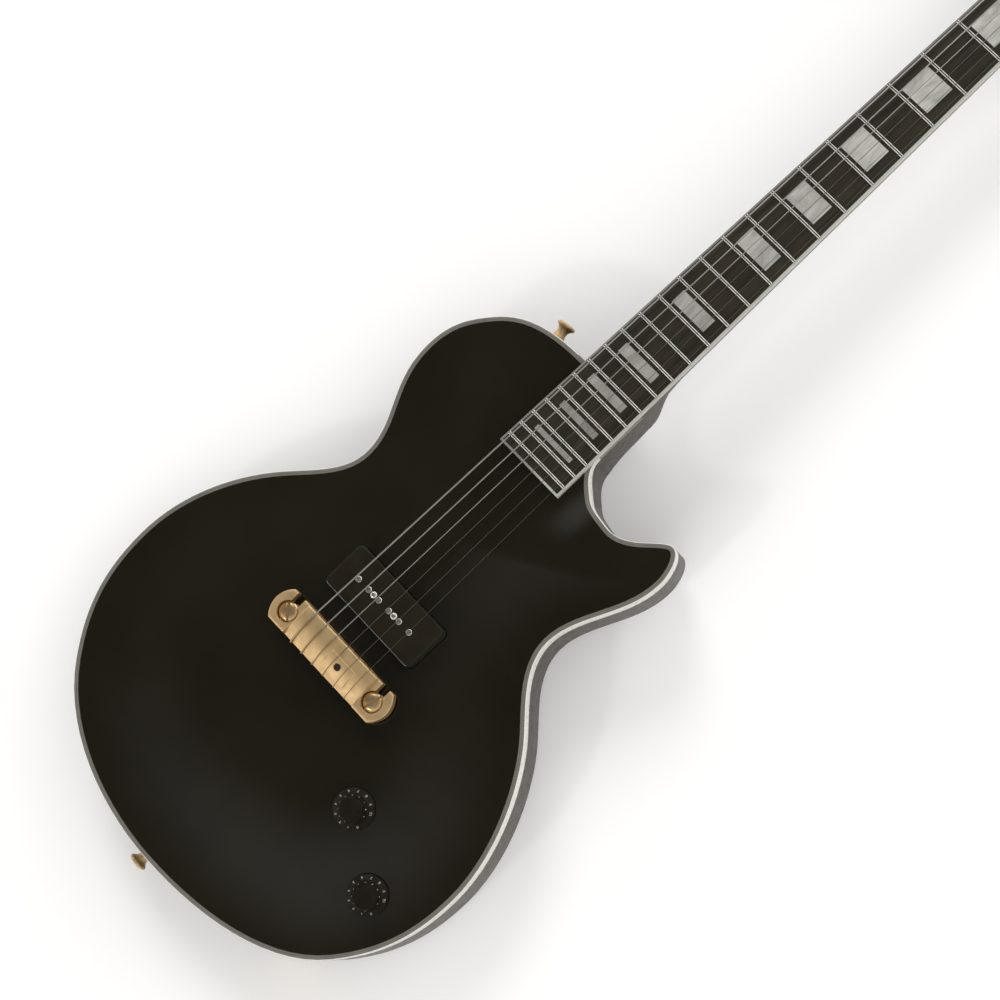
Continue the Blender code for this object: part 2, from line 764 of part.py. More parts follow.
def frets():
    """Fret wires with their tangs, held in line by a rail under the board."""
    tangs = comb(FRET_XS, TANG_THICK / 2, RAIL_LOW, RAIL_HIGH, GAP + 0.5 * CROWN_HIGH,
                 RAIL_OFF_CENTRE, RAIL_OFF_CENTRE + RAIL_WIDE)
    wires = solid("frets", tangs, NECK, "nickel")
    crowns = [crown(x, half_width(-x) - BOARD_BINDING - GAP) for x in FRET_XS]
    combine(wires, solid("fret_crowns", join_all(crowns), NECK, cutter=True), "UNION")


def inlays():
    """Pearl blocks between the frets, held in line by a rail under the board."""
    feet = comb(INLAY_XS, INLAY_FOOT / 2, RAIL_LOW, RAIL_HIGH, -0.5 * INLAY_THICK,
                -RAIL_OFF_CENTRE - RAIL_WIDE, -RAIL_OFF_CENTRE)
    pearls = solid("inlays", feet, NECK, "pearl")
    blocks = []
    for a, b, w in inlay_spans():
        blocks.append(loft([arch(a, w, -INLAY_THICK, 4), arch(b, w, -INLAY_THICK, 4)]))
    combine(pearls, solid("inlay_blocks", join_all(blocks), NECK, cutter=True), "UNION")


def nut_y(number):
    """Place of a string across the nut, string 1 on the treble side."""
    return SPREAD_NUT * ((number - 1) / 5 - 0.5)


def bridge_y(number):
    """Place of a string across the bridge."""
    return SPREAD_BRIDGE * ((number - 1) / 5 - 0.5)


def nut():
    """Slotted nut at the end of the fretboard."""
    half = half_width(0) - 0.4
    piece = solid("nut", block(GAP, GAP + NUT_LONG, -half, half, -BOARD_THICK, NUT_OVER_BOARD), NECK, "ivory")
    slots = []
    for number, size in enumerate(STRING_SIZES, 1):
        y = nut_y(number)
        w = size / 2 + GAP
        low = STRING_OVER_BOARD - sag(y) - GAP
        slots.append(block(-2, 8, y - w, y + w, low, 6))
    combine(piece, solid("nut_slots", join_all(slots), NECK, cutter=True))


def pickup():
    """Soap-bar pickup: cover, bobbin, coil, screw poles on their keeper, baseplate and fixing screws."""
    half_x, half_y = PICKUP_WIDE / 2, PICKUP_LONG / 2
    low = POCKET_FLOOR + 6
    cover = solid("pickup_cover", loft([
        [(x, y, low) for x, y in rounded(half_x, half_y, 4, 3, PICKUP_X)],
        [(x, y, PICKUP_TOP - 1) for x, y in rounded(half_x, half_y, 4, 3, PICKUP_X)],
        [(x, y, PICKUP_TOP) for x, y in rounded(half_x - 1, half_y - 1, 3, 3, PICKUP_X)]]), look="plastic")
    room = rounded(half_x - COVER_WALL, half_y - COVER_WALL, 2.5, 3, PICKUP_X)
    combine(cover, solid("cover_room", prism(room, low - 5, PICKUP_TOP - COVER_WALL), cutter=True))
    pole_ys = [POLE_PITCH * (i - 2.5) for i in range(6)]
    screw_ys = [PICKUP_SCREW_Y, -PICKUP_SCREW_Y]
    wells = [rod(POLE_R + GAP, low - 15, PICKUP_TOP + 5, 10, PICKUP_X, y) for y in pole_ys]
    wells += [rod(PICKUP_SCREW_R + GAP, low - 15, PICKUP_TOP + 5, 8, PICKUP_X, y) for y in screw_ys]
    wells = solid("pickup_wells", join_all(wells), cutter=True)
    combine(cover, wells)
    high = PICKUP_TOP - COVER_WALL - GAP
    core = rounded(5, 32, 3, 2, PICKUP_X)
    flange = rounded(half_x - 2.5, half_y - 3, 3, 2, PICKUP_X)
    foot = low + 4.5
    spool = [(flange, foot), (flange, foot + 1.2), (core, foot + 1.2), (core, high - 1.2),
             (flange, high - 1.2), (flange, high)]
    bobbin = solid("pickup_bobbin", loft([[(x, y, z) for x, y in ring] for ring, z in spool]), look="plastic")
    combine(bobbin, wells)
    inner = rounded(5 + GAP, 32 + GAP, 3, 2, PICKUP_X)
    outer = rounded(half_x - 4, half_y - 4.5, 5, 2, PICKUP_X)
    turns = [(inner, foot + 1.5), (outer, foot + 1.5), (outer, high - 1.5), (inner, high - 1.5)]
    skin = loft([[(x, y, z) for x, y in ring] for ring, z in turns], closed=True)
    solid("pickup_coil", skin, look="copper")
    plate = rounded(half_x - 2.5, half_y - 3, 3, 2, PICKUP_X)
    base = solid("pickup_baseplate", prism(plate, low - 2, low - 0.5), look="nickel")
    combine(base, wells)
    keeper = block(PICKUP_X - 4, PICKUP_X + 4, -31, 31, low - 0.2, foot - GAP)
    poles = solid("pickup_poles", keeper, look="nickel")
    screws = [rod(POLE_R, low + 1, PICKUP_TOP + 0.8, 10, PICKUP_X, y) for y in pole_ys]
    combine(poles, solid("pole_screws", join_all(screws), cutter=True), "UNION")
    holes = [rod(PICKUP_SCREW_R + GAP, low - 6, foot + 3, 8, PICKUP_X, y) for y in screw_ys]
    combine(poles, solid("keeper_holes", join_all(holes), cutter=True))
    for y, name in zip(screw_ys, ("bass", "treble")):
        frame = Matrix.Translation((PICKUP_X, y, PICKUP_TOP + 0.1))
        tip = CAP_LOW + 1.5 - PICKUP_TOP
        shape = lathe([(1.2, tip), (PICKUP_SCREW_R, tip + 2), (PICKUP_SCREW_R, 0.3),
                       (2.6, 0.3), (2.6, 0.9), (1.6, 1.5)], 10)
        solid("pickup_screw_" + name, shape, frame, "gold", frame.translation)


def bar_ends(y):
    """Front and back of the bar at y, drawn in along its round ends."""
    half = 0.5 * (BAR_FRONT - BAR_BACK)
    radius = (half ** 2 + END_BULGE ** 2) / (2 * END_BULGE)
    out = max(abs(y) - (BAR_HALF - END_BULGE), 0)
    reach = math.sqrt(radius ** 2 - (radius - END_BULGE + out) ** 2)
    middle = 0.5 * (BAR_FRONT + BAR_BACK)
    return middle + reach, middle - reach


def bar_section(y):
    """Outline of the bridge bar across its length at y."""
    front, back = bar_ends(y)
    share = (front - back) / (BAR_FRONT - BAR_BACK)
    if abs(y) <= EAR_START:
        top = BAR_TOP - sag(y)
        drops = (0.9, 0, 0, 0.7, 3, 6)
    else:
        top = EAR_TOP - 0.8 * (1 - share)
        drops = (0.9, 0, 0, 0, 0.3, 2)
    xs = (front, front - 1.5 * share, front - 8 * share, back + 9 * share, back + 2.5 * share, back)
    upper = [(x, top - drop) for x, drop in zip(xs, drops)]
    low = [(back, BAR_LOW + 2), (back + 2 * share, BAR_LOW)]
    low += [(front - 1.5 * share, BAR_LOW), (front, BAR_LOW + 1)]
    return [(x, y, z) for x, z in upper + low]


def bridge():
    """Wraparound bar on two studs in threaded bushings."""
    ys = [out - BAR_HALF for out in (0.4, 1.5, 3.2, END_BULGE)] + [-EAR_START - 0.8, -EAR_START, -24, -12, 0]
    ys += [-y for y in reversed(ys[:-1])]
    bar = solid("bridge_bar", loft([bar_section(y) for y in ys]), look="gold")
    for sign, name in ((1, "bass"), (-1, "treble")):
        y = sign * STUD_Y
        seat = BAR_LOW + EAR_THICK
        recess = rod(RECESS_R, seat, RIM + 40, 18, STUD_X, y)
        combine(bar, solid("stud_recess_" + name, recess, cutter=True))
        w = STUD_NECK_R + GAP
        slot = capsule((STUD_X, y), (BAR_FRONT + 10, y), w, 6)
        combine(bar, solid("stud_slot_" + name, prism(slot, BAR_LOW - 5, RIM + 40), cutter=True))
        frame = Matrix.Translation((STUD_X, y, 0))
        low = BUSHING_TOP + 2 * GAP
        profile = [(STUD_NECK_R, CAP_LOW + 6), (STUD_NECK_R, low), (STUD_COLLAR_R, low),
                   (STUD_COLLAR_R, BAR_LOW - GAP), (STUD_NECK_R, BAR_LOW - GAP), (STUD_NECK_R, seat + GAP),
                   (STUD_HEAD_R, seat + GAP), (STUD_HEAD_R, seat + 1.8), (STUD_HEAD_R - 1.4, seat + 2.8)]
        stud = solid("bridge_stud_" + name, lathe(profile, 18), frame, "gold", frame.translation)
        turn = frame @ Matrix.Rotation(math.radians(STUD_TURN), 4, "Z")
        slot = block(-9, 9, -0.8, 0.8, seat + 1.6, RIM + 40)
        combine(stud, solid("stud_turn_" + name, slot, turn, cutter=True))
        bore = STUD_NECK_R + GAP
        foot = CAP_LOW + 2 + GAP
        tube = [(bore, foot), (BUSHING_R, foot), (BUSHING_R, BUSHING_TOP), (bore, BUSHING_TOP)]
        solid("bridge_bushing_" + name, lathe(tube, 14, closed=True), frame, "nickel", frame.translation)
    turn = Matrix.Rotation(-math.pi / 2, 4, "Y")
    for number in range(1, 7):
        frame = Matrix.Translation((0, bridge_y(number), STRING_HOLE_Z)) @ turn
        hole = lathe([(STRING_HOLE_R, 40), (STRING_HOLE_R, -BAR_FRONT + 4), (BALL_R + 0.4, -BAR_FRONT + 4),
                      (BALL_R + 0.4, -4)], 10)
        combine(bar, solid("string_hole_%d" % number, hole, frame, cutter=True))


def string_path(number, size):
    """Points and radii of one string from its ball end to the tuner post."""
    y = bridge_y(number)
    radius = size / 2
    lift = radius + 0.25
    top = BAR_TOP - sag(y) + lift
    spots = [(BAR_FRONT - 0.6, STRING_HOLE_Z, BALL_R), (BAR_FRONT - 3.4, STRING_HOLE_Z, BALL_R),
             (BAR_FRONT - 3.5, STRING_HOLE_Z, radius), (BAR_BACK - lift + 0.4, STRING_HOLE_Z, radius),
             (BAR_BACK - lift - 0.25, STRING_HOLE_Z + 1, radius), (BAR_BACK - lift, top - 5.9, radius),
             (BAR_BACK + 2.1, top - 2.6, radius), (BAR_BACK + 8.8, top - 0.5, radius),
             (BAR_FRONT - 8, top, radius), (BAR_FRONT - 1, top, radius)]
    points = [(Vector((x, y, z)), r) for x, z, r in spots]
    across = nut_y(number)
    high = STRING_OVER_BOARD - sag(across) + radius
    for x in (-0.5, NUT_LONG + 2 * GAP):
        points.append((NECK @ Vector((x, across, high)), radius))
    start = HEAD.inverted() @ points[-1][0]
    for p in winding(number, start, size):
        points.append((HEAD @ p, radius))
    return points


def winding(number, start, size):
    """Turns of a string round its post, reached along the tangent on the inner side."""
    spot = [t for t in tuners() if t[0] == number][0]
    centre = Vector((spot[1], spot[2] * POST_Y))
    side = spot[2]
    reach = POST_R + size / 2 + 0.2
    away = centre - start.to_2d()
    angle = math.atan2(away.y, away.x) - side * math.asin(reach / away.length)
    length = math.sqrt(away.length_squared - reach * reach)
    touch = start.to_2d() + length * Vector((math.cos(angle), math.sin(angle)))
    first = math.atan2(touch.y - centre.y, touch.x - centre.x)
    turns = 10 * WIND_TURNS
    path = []
    for i in range(turns + 1):
        a = first + side * 2 * math.pi * i / 10
        z = WIND_TOP - (size + 0.45) * i / 10
        path.append(Vector((centre.x + reach * math.cos(a) * 1.05, centre.y + reach * math.sin(a) * 1.05, z)))
    return path


def strings():
    """Six strings as thin tubes."""
    for number, size in enumerate(STRING_SIZES, 1):
        path = string_path(number, size)
        line = bpy.data.curves.new("string_%d" % number, "CURVE")
        line.dimensions = "3D"
        line.bevel_depth = size / 2 * MM
        line.bevel_resolution = 0
        line.use_fill_caps = True
        spline = line.splines.new("POLY")
        spline.points.add(len(path) - 1)
        for knot, (place, radius) in zip(spline.points, path):
            knot.co = (*(place * MM), 1)
            knot.radius = radius / (size / 2)
        register(bpy.data.objects.new("string_%d" % number, line), "nickel", False)


def controls():
    """Volume and tone controls, each a knob on a shaft in its pot."""
    for frame, name in ((VOLUME, "volume"), (TONE, "tone")):
        lean = math.acos(min(1.0, frame.col[2].z))
        deep = (frame.translation.z - CAP_LOW) / math.cos(lean) + POT_R * math.tan(lean) + 1.2
        bore = SHAFT_R + GAP
        profile = [(POT_R, -deep - POT_HIGH), (POT_R, -deep), (POT_NECK_R, -deep), (POT_NECK_R, 2.5),
                   (bore, 2.5), (bore, -deep - POT_HIGH + 3)]
        solid(name + "_pot", lathe(profile, 16), frame, "nickel", frame.translation)
        stem = lathe([(SHAFT_R, -deep - POT_HIGH + 3 + GAP), (SHAFT_R, KNOB_HIGH - 3)], 12)
        solid(name + "_shaft", stem, frame, "nickel", frame.translation)
        hat = [(bore, KNOB_HIGH - 3 + GAP), (bore, 4.6), (8.2, 4.6), (8.2, 1.2), (KNOB_R - 0.6, 1.2),
               (KNOB_R, 1.8), (KNOB_R, 2.8), (HAT_R, 6.0), (HAT_R - 1, KNOB_HIGH - 0.8),
               (HAT_R - 1.8, KNOB_HIGH)]
        solid(name + "_knob", lathe(hat, 20), frame, "plastic", frame.translation)


def control_cover():
    """Plate over the control cavity, flush with the back."""
    plate = capsule(VOLUME_AT, TONE_AT, CAVITY_R + COVER_LIP)
    solid("control_cover", prism(plate, BACK, BACK + COVER_THICK), look="plastic")


def output_jack():
    """Socket and its square plate on the side wall."""
    half_x, half_y = JACK_PLATE[0] / 2, JACK_PLATE[1] / 2
    low = -JACK_SEAT + GAP
    outline = rounded(half_x, half_y, 3, 2)
    plate = solid("jack_plate", prism(outline, low, low + JACK_PLATE_THICK), JACK, "gold")
    combine(plate, solid("jack_hole", rod(JACK_NECK_R + GAP, -9, 9, 14), JACK, cutter=True))
    seat = low + JACK_PLATE_THICK + GAP
    behind = low - GAP - 1
    profile = [(JACK_BORE_R, -16), (6, -16), (6, -12), (8, -12), (8, behind), (JACK_NECK_R, behind),
               (JACK_NECK_R, seat), (JACK_NUT_R, seat), (JACK_NUT_R, seat + 1.8), (JACK_BORE_R, seat + 1.8)]
    solid("output_jack", lathe(profile, 24, closed=True), JACK, "nickel")


def strap_buttons():
    """Strap buttons on the shoulder and at the tail."""
    profile = [(STRAP_SHANK_R - 0.5, -18), (STRAP_SHANK_R, -16), (STRAP_SHANK_R, GAP), (5, GAP), (5, 2),
               (4, 5), (4.2, 8), (STRAP_RIM_R, 10.5), (STRAP_RIM_R, 12), (STRAP_RIM_R - 1.5, 13)]
    for frame, name in ((STRAP_SHOULDER, "shoulder"), (STRAP_TAIL, "tail")):
        solid("strap_button_" + name, lathe(profile, 12), frame, "gold", frame.translation)


def oval(y, x_radius, z_radius, sides=10):
    """Ring across the button's axis."""
    return [(x, y, z) for x, z in ((x_radius * c, z_radius * s) for c, s in circle(1, sides))]


def tuner_set():
    """Six tuners: housing, button on its worm shaft, and post with its gear."""
    for number, x, side in tuners():
        tag = "_%d" % number
        worm_x = GEAR_R + WORM_R + GAP
        frame = HEAD @ Matrix.Translation((x, side * POST_Y, 0))
        high = -HEAD_THICK - GAP
        shell = block(-7, worm_x + 4.5, -HOUSING_HALF_Y, HOUSING_HALF_Y, high - HOUSING_HIGH, high)
        housing = solid("tuner_housing" + tag, shell, frame, "gold")
        half = GEAR_THICK / 2
        bore = lathe([(POST_R + GAP, GEAR_Z - 3.4), (POST_R + GAP, GEAR_Z - half - GAP),
                      (GEAR_R + GAP, GEAR_Z - half - GAP), (GEAR_R + GAP, GEAR_Z + half + GAP),
                      (POST_R + GAP, GEAR_Z + half + GAP), (POST_R + GAP, 0)], 12)
        combine(housing, solid("post_bore" + tag, bore, frame, cutter=True))
        axle = frame @ Matrix.Translation((worm_x, 0, GEAR_Z))
        out = axle @ Matrix.Rotation(-side * math.pi / 2, 4, "X")
        combine(housing, solid("worm_bore" + tag, rod(WORM_R + GAP, -5.5, 20, 10), out, cutter=True))
        profile = [(POST_R, GEAR_Z - 3), (POST_R, GEAR_Z - half), (GEAR_R, GEAR_Z - half),
                   (GEAR_R, GEAR_Z + half), (POST_R, GEAR_Z + half), (POST_R, POST_TOP - 1),
                   (POST_R - 0.8, POST_TOP)]
        solid("tuner_post" + tag, lathe(profile, 12), frame, "gold", frame.translation)
        start = BUTTON_START - POST_Y
        rings = [(-5, WORM_R, WORM_R), (5, WORM_R, WORM_R), (6, 2, 2), (start - 1.5, 2, 2), (start, 4, 3.2),
                 (start + 3, 8, 4.4), (start + 8, 9.5, 4.8), (start + BUTTON_LONG - 2, 8.5, 4.2),
                 (start + BUTTON_LONG, 6, 2.5)]
        shape = loft([oval(side * y, rx, rz) for y, rx, rz in rings])
        solid("tuner_button" + tag, shape, axle, "gold", axle.translation)


def settle():
    """Lay the guitar on its back: tail edge and tuners on the ground, origin under the middle."""
    bpy.context.view_layer.update()
    graph = bpy.context.evaluated_depsgraph_get()
    groups = {True: [], False: []}
    for thing in GUITAR.objects:
        if thing.type == "EMPTY":
            continue
        shape = thing.evaluated_get(graph)
        mesh = shape.to_mesh()
        spots = [thing.matrix_world @ v.co for v in mesh.vertices]
        groups[thing.name.startswith(("tuner", "neck"))] += [tuple(p) for p in spots]
        shape.to_mesh_clear()
    head = numpy.array(groups[True])
    body = numpy.array(groups[False])
    low, high = 0.0, math.radians(10)
    for _ in range(40):
        t = 0.5 * (low + high)
        lift = [(p[:, 0] * math.sin(t) + p[:, 2] * math.cos(t)).min() for p in (head, body)]
        low, high = (t, high) if lift[0] < lift[1] else (low, t)
    turn = Matrix.Rotation(-t, 4, "Y")
    every = numpy.vstack((head, body)) @ numpy.array(turn.to_3x3()).T
    least, most = every.min(axis=0), every.max(axis=0)
    shift = Vector((-(least[0] + most[0]) / 2, -(least[1] + most[1]) / 2, -least[2]))
    ROOT.matrix_world = Matrix.Translation(shift) @ turn


body_back()
body_top()
top_binding()
neck()
headstock_overlay()
truss_rod()
fretboard()
fretboard_binding()
frets()
inlays()
nut()
pickup()
bridge()
strings()
controls()
control_cover()
output_jack()
strap_buttons()
tuner_set()
settle()
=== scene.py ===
"""Looks of the electric guitar: fine shapes, materials, light and camera.

Lengths are in millimetres in the guitar's own frame, with x toward the nut, y toward the bass side, z up
and the origin under the string contact line of the bridge. POSE lays that frame on the floor, in metres.
"""
import json
from math import asin, atan2, copysign, cos, exp, pi, radians, sin, sqrt, tan

import bmesh
import bpy
import numpy
from mathutils import Matrix, Vector, geometry


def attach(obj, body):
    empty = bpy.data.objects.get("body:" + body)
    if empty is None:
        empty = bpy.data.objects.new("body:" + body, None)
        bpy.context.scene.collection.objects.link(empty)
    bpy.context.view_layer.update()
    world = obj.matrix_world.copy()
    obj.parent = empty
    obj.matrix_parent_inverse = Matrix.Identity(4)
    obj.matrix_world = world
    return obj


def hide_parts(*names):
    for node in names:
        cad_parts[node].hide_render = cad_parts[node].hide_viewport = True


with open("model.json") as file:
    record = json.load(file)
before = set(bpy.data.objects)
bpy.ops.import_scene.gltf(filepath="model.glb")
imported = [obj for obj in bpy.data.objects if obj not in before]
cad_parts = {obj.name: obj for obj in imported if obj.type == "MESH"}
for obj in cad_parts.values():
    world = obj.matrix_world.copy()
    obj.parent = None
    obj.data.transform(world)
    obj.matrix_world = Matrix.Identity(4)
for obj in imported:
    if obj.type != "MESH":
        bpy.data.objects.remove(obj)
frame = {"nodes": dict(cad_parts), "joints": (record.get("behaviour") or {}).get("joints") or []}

NODES = frame["nodes"]
JOINTS = {joint["name"]: joint for joint in frame["joints"]}
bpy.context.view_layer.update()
MM = 0.001
GAP = 0.3
SKIN = 0.05
SIDES = {"bass": 1, "treble": -1}
CORNERS = ((1, 1), (-1, 1), (-1, -1), (1, -1))

# Strings, fretboard and neck
SCALE = 628.65
FRETS = 22
JOINT_FRET = 16
NUT_WIDTH = 42.5
LAST_FRET_WIDTH = 57.0
BOARD_LENGTH = 460.0
BOARD_THICK = 6.0
BOARD_RADIUS = 305.0
BOARD_OVER_RIM = 7.0
BOARD_BINDING = 1.5
BINDING_ROUND = 0.25
NECK_ANGLE = 4.0
NECK_DEPTH_NUT = 15.0
NECK_DEPTH_MID = 18.0
NECK_POWER = 2.3
HEEL_POWER = 12
CROWN_WIDE = 2.6
CROWN_HIGH = 1.3
CROWN_STEPS = 10
FRET_ROOT = 0.4
INLAY_FRETS = (1, 3, 5, 7, 9, 12, 15, 17, 19, 21)
INLAY_MARGIN = 3.7
INLAY_WIDTHS = (21.5, 34.7)
INLAY_SPAN = 440.0
INLAY_DEEP = 1.2
INLAY_PROUD = 0.04
DOUBLE_DOT = 12
DOT_SHIFT = 5
DOT_LOW = 0.6
NUT_LONG = 4.7
STRING_OVER_BOARD = 1.8
STRING_SIZES = (0.254, 0.330, 0.432, 0.660, 0.914, 1.168)
PLAIN_STRINGS = 3
WRAP_POINTS = 15
TWIST_THICK = 0.15
SPREAD_NUT = 35.5
SPREAD_BRIDGE = 54.0

# Body
BACK = -4.0
RIM = 50.0
CLEAR = RIM + 40
BODY_END = 247.0
CARVE_HEIGHT = 12.0
CARVE_REACH = 110.0
BED_HALF = 29.0
BED_FROM = 130.0
BED_FADE = (40.0, 30.0)
BINDING_WIDE = 3.5
BINDING_DEEP = 12.0
RUN_OUT_FROM = 184.0
RUN_OUT_LONG = 21.0
RUN_OUT_SIDES = (-45.0, 29.0)
BACK_ROUND = 6.0
TENON_HALF = 20.0
TENON_LOW = 16.0
HEEL_LOW = BACK + 7
JOINT_Y = -28.3
EDGE_STEPS = 14
MARK_STEPS = 5
TOP_GRID = 5.0
ROW_STEP = 0.866
GRID_START = (-212, -180)
GRID_SPAN = (470, 360)
PLIES = (0.7, 0.5, 0.7, 0.5, 0.5)

# Headstock and tuners
HEAD_ANGLE = 14.0
HEAD_START = 5.5
HEAD_DROP = 5.0
HEAD_THICK = 13.0
HEAD_ROOT = 36.0
OVERLAY = 2.0
ROD_COVER_THICK = 2.1
POST_X = (52.0, 92.0, 132.0)
POST_Y = 27.0
POST_R = 3.0
POST_TOP = 16.0
POST_HOLE_Z = 10.6
GEAR_R = 5.2
GEAR_Z = -18.5
WORM_R = 2.5
WORM_X = GEAR_R + WORM_R + GAP
BUTTON_START = 44.0
BUTTON_LONG = 15.0
HOUSING_HIGH = 10.4
HOUSING_HALF_Y = 8.0
HOUSING_ENDS = (-7.0, WORM_X + 4.5)
HOUSING_ROUND = 2.2
HOUSING_CORNER = 3.4
TAB_X = -10.5
WIND_TOP = 9.5
WIND_TURNS = 2
WIND_STEPS = 24

# Pickup and bridge
PICKUP_X = 33.2
PICKUP_LONG = 85.5
PICKUP_WIDE = 36.0
PICKUP_CORNER = 4
PICKUP_ROUND = 1.6
# Row of the pickup cover's rounded edge that carries a painted highlight on the bridge side
GLINT_ROW = 4
PICKUP_TOP = RIM + 19
POLE_PITCH = 10.2
POLE_R = 2.2
PICKUP_SCREW_Y = 10.2
POCKET_FLOOR = RIM - 4
BAR_FRONT = -2.5
BAR_BACK = -29.0
BAR_LOW = RIM + 16.5
BAR_TOP = BAR_LOW + 12
BAR_HALF = 56.3
END_BULGE = 5.9
HUMP_FROM = 0.3
HUMP_DROP = 6.3
EAR_START = BAR_HALF - 21.8
EAR_TOP = BAR_LOW + 8.3
EAR_THICK = 4.0
STUD_X = -16.6
STUD_Y = BAR_HALF - 13.1
STUD_SEAT = BAR_LOW + EAR_THICK
STUD_HEAD_R = 7.0
STUD_TURNS = {"bass": 40, "treble": -12}
RECESS_R = STUD_HEAD_R + 0.7
STUD_NECK_R = 3.2
BUSHING_TOP = RIM + 12.6
BUSHING_R = 5.75
STRING_HOLE_Z = BAR_LOW + 3.5
BALL_R = 2.0
BLOCK_FROM = -22.0
BLOCK_TO = 0.3
BLOCK_BEHIND = 8.6
BLOCK_HIGH = 0.6
BLOCK_EDGE = 0.5
PIT_AT = (-17.4, -10.1)
PIT_R = 2.7

# Controls
VOLUME_AT = (-75.8, -84.4)
TONE_AT = (-109.4, -131.4)
KNOB_R = 14.6
KNOB_HIGH = 15.5
SKIRT_TOP_R = 10.2
SKIRT_RISE = 3.2
FIGURES = 11
FIGURE_STEP = 30
FIGURE_SIZE = 2.9
FIGURE_Z = 4.46
# Ring of pale dots on each knob's hat, painted glints
KNOB_DOT_AT = 9.45
KNOB_DOT_Z = 8.9
POT_NECK_R = 4.75
POT_NUT_R = 7.2
SHAFT_R = 3.0
CAVITY_R = 21.0
COVER_LIP = 3.5
COVER_THICK = 2.5
JACK_MARK = (38, 0.7)
JACK_Z = 18.0
JACK_PLATE = (34.0, 28.0)
JACK_CORNER = 3
JACK_BORE_R = 3.3
JACK_NECK_R = 4.75
JACK_NUT_R = 6.4
JACK_ROOM_R = 9.5
JACK_SINK = 2.8
SHOULDER_MARK = (1, 0.85)
TAIL_MARK = (34, 0.77)
STRAP_Z = 25.0
STRAP_SHANK_R = 1.7
STRAP_SCREW_Z = 12.3

# Body edge seen from above: x, y, heading in degrees, handle before, handle after
EDGE_KNOTS = (
    (BODY_END, 27.5, 90, 0, 36),         # neck joint, bass side
    (223.7, 97.6, 139, 22.5, 19.0),      # shoulder
    (177.1, 116.7, 180, 20.7, 37.3),     # upper bout
    (96.3, 92.3, 180, 28.8, 22.4),       # bass waist
    (38.8, 129.4, 141, 26.1, 34.4),      # bass hip
    (-57.0, 165.7, 180, 34.3, 40.3),     # lower bout, bass
    (-151.3, 133.1, 218, 35.4, 49.0),    # bass seat
    (-207.1, -4.1, 270, 49.3, 55.0),     # tail
    (-157.3, -145.5, 323, 46.1, 33.2),   # treble seat
    (-70.0, -174.1, 0, 35.1, 42.5),      # lower bout, treble
    (41.1, -127.7, 44, 31.7, 21.8),      # treble hip
    (95.4, -93.2, 0, 22.3, 26.7),        # treble waist
    (176.6, -118.8, 0, 30.9, 10.9),      # under the horn
    (200.6, -105.6, 101, 8.2, 9.5),      # horn tip
    (177.7, -65.3, 84, 19.0, 17.9),      # floor of the cutaway
    (186.5, -39.7, 50, 9.4, 7.0),        # cutaway against the neck
    (204.0, JOINT_Y, 4, 8.0, 14.0),      # edge beside the fretboard
    (BODY_END, JOINT_Y, 0, 14, 0),       # neck joint, treble side
)

# Headstock edge on the bass side and edge of the truss rod's cover, in the same terms
HEAD_KNOTS = (
    (0.0, NUT_WIDTH / 2, 4, 0, 5),
    (42.0, 37.0, 8, 17, 10),
    (165.0, 41.0, 2, 30, 4),
    (172.0, 36.0, 270, 3, 12),
    (182.0, 0.0, 270, 14, 0),
)
ROD_COVER_KNOTS = ((4, 11, 0, 0, 3), (12, 11, 0, 3, 8), (36, 4.6, 345, 8, 3), (44, 2.2, 340, 3, 0))

# Scoop at the heel: x, width and height of the rounding
SCOOP_MARKS = ((199, 1, 2), (204, 3, 6), (210, 5.5, 13), (220, 8, 20), (BODY_END + 5, 9.5, 25))

# Heel of the neck: distance from the joint, share of the heel's depth, squareness of the section
HEEL_MARKS = ((4, 0.99, 12), (10, 0.95, 10), (15, 0.8, 7), (20, 0.5, 4.5), (26, 0.17, 3), (40, 0.0, 2.3))

# Camera in the guitar's frame
CAMERA_AT = Vector((196.346, -456.613, 1833.179))
CAMERA_RIGHT = Vector((0.713604, -0.672705, -0.195543))
CAMERA_AHEAD = Vector((-0.031194, 0.248339, -0.968171))
LENS = 97.18

# Light: the sky, where its dim cap and bright side face, and each lamp's heading, height, strength and spread
HORIZON = 1.95
ZENITH = 0.1
CAP_AXIS = (0.1, 0.5, 0.86)
CAP_SPAN = (0.3, 0.92)
BRIGHT_SIDE = (0.35, 0.94, 0.0)
SIDE_SHARES = (0.45, 1.55)
KEY_LAMP = (55, 38, 0.95, 24)
TAIL_LAMP = (180, 40, 0.3, 6)
FLOOR_HALF = 6.0
FLOOR_LIFT = 0.16


def fret_at(number):
    """Distance of a fret from the nut."""
    return SCALE * (1 - 2 ** (-number / 12))


def half_width(distance):
    """Half the fretboard's width at a distance from the nut."""
    return 0.5 * (NUT_WIDTH + (LAST_FRET_WIDTH - NUT_WIDTH) * distance / fret_at(FRETS))


def sag(y):
    """Drop of the arched fretboard at a distance from its centre line."""
    return y * y / (2 * BOARD_RADIUS)


def move(x, y, z):
    """Frame moved along each axis."""
    return Matrix.Translation((x, y, z))


def turned(degrees, axis):
    """Frame turned about an axis."""
    return Matrix.Rotation(radians(degrees), 4, axis)


# Frames of the body, the neck at the nut and the headstock behind it
TILT = radians(NECK_ANGLE)
NUT_AT = Vector((SCALE * cos(TILT), 0, RIM + BOARD_OVER_RIM - fret_at(JOINT_FRET) * sin(TILT)))
BODY = Matrix.Identity(4)
NECK = Matrix.Translation(NUT_AT) @ turned(NECK_ANGLE, "Y")
HEAD = NECK @ move(HEAD_START, 0, -HEAD_DROP) @ turned(HEAD_ANGLE, "Y")
CAP_LOW = RIM - BINDING_DEEP
BED = -BOARD_THICK - GAP
TENON_START = NUT_AT.x - BOARD_LENGTH * cos(TILT)


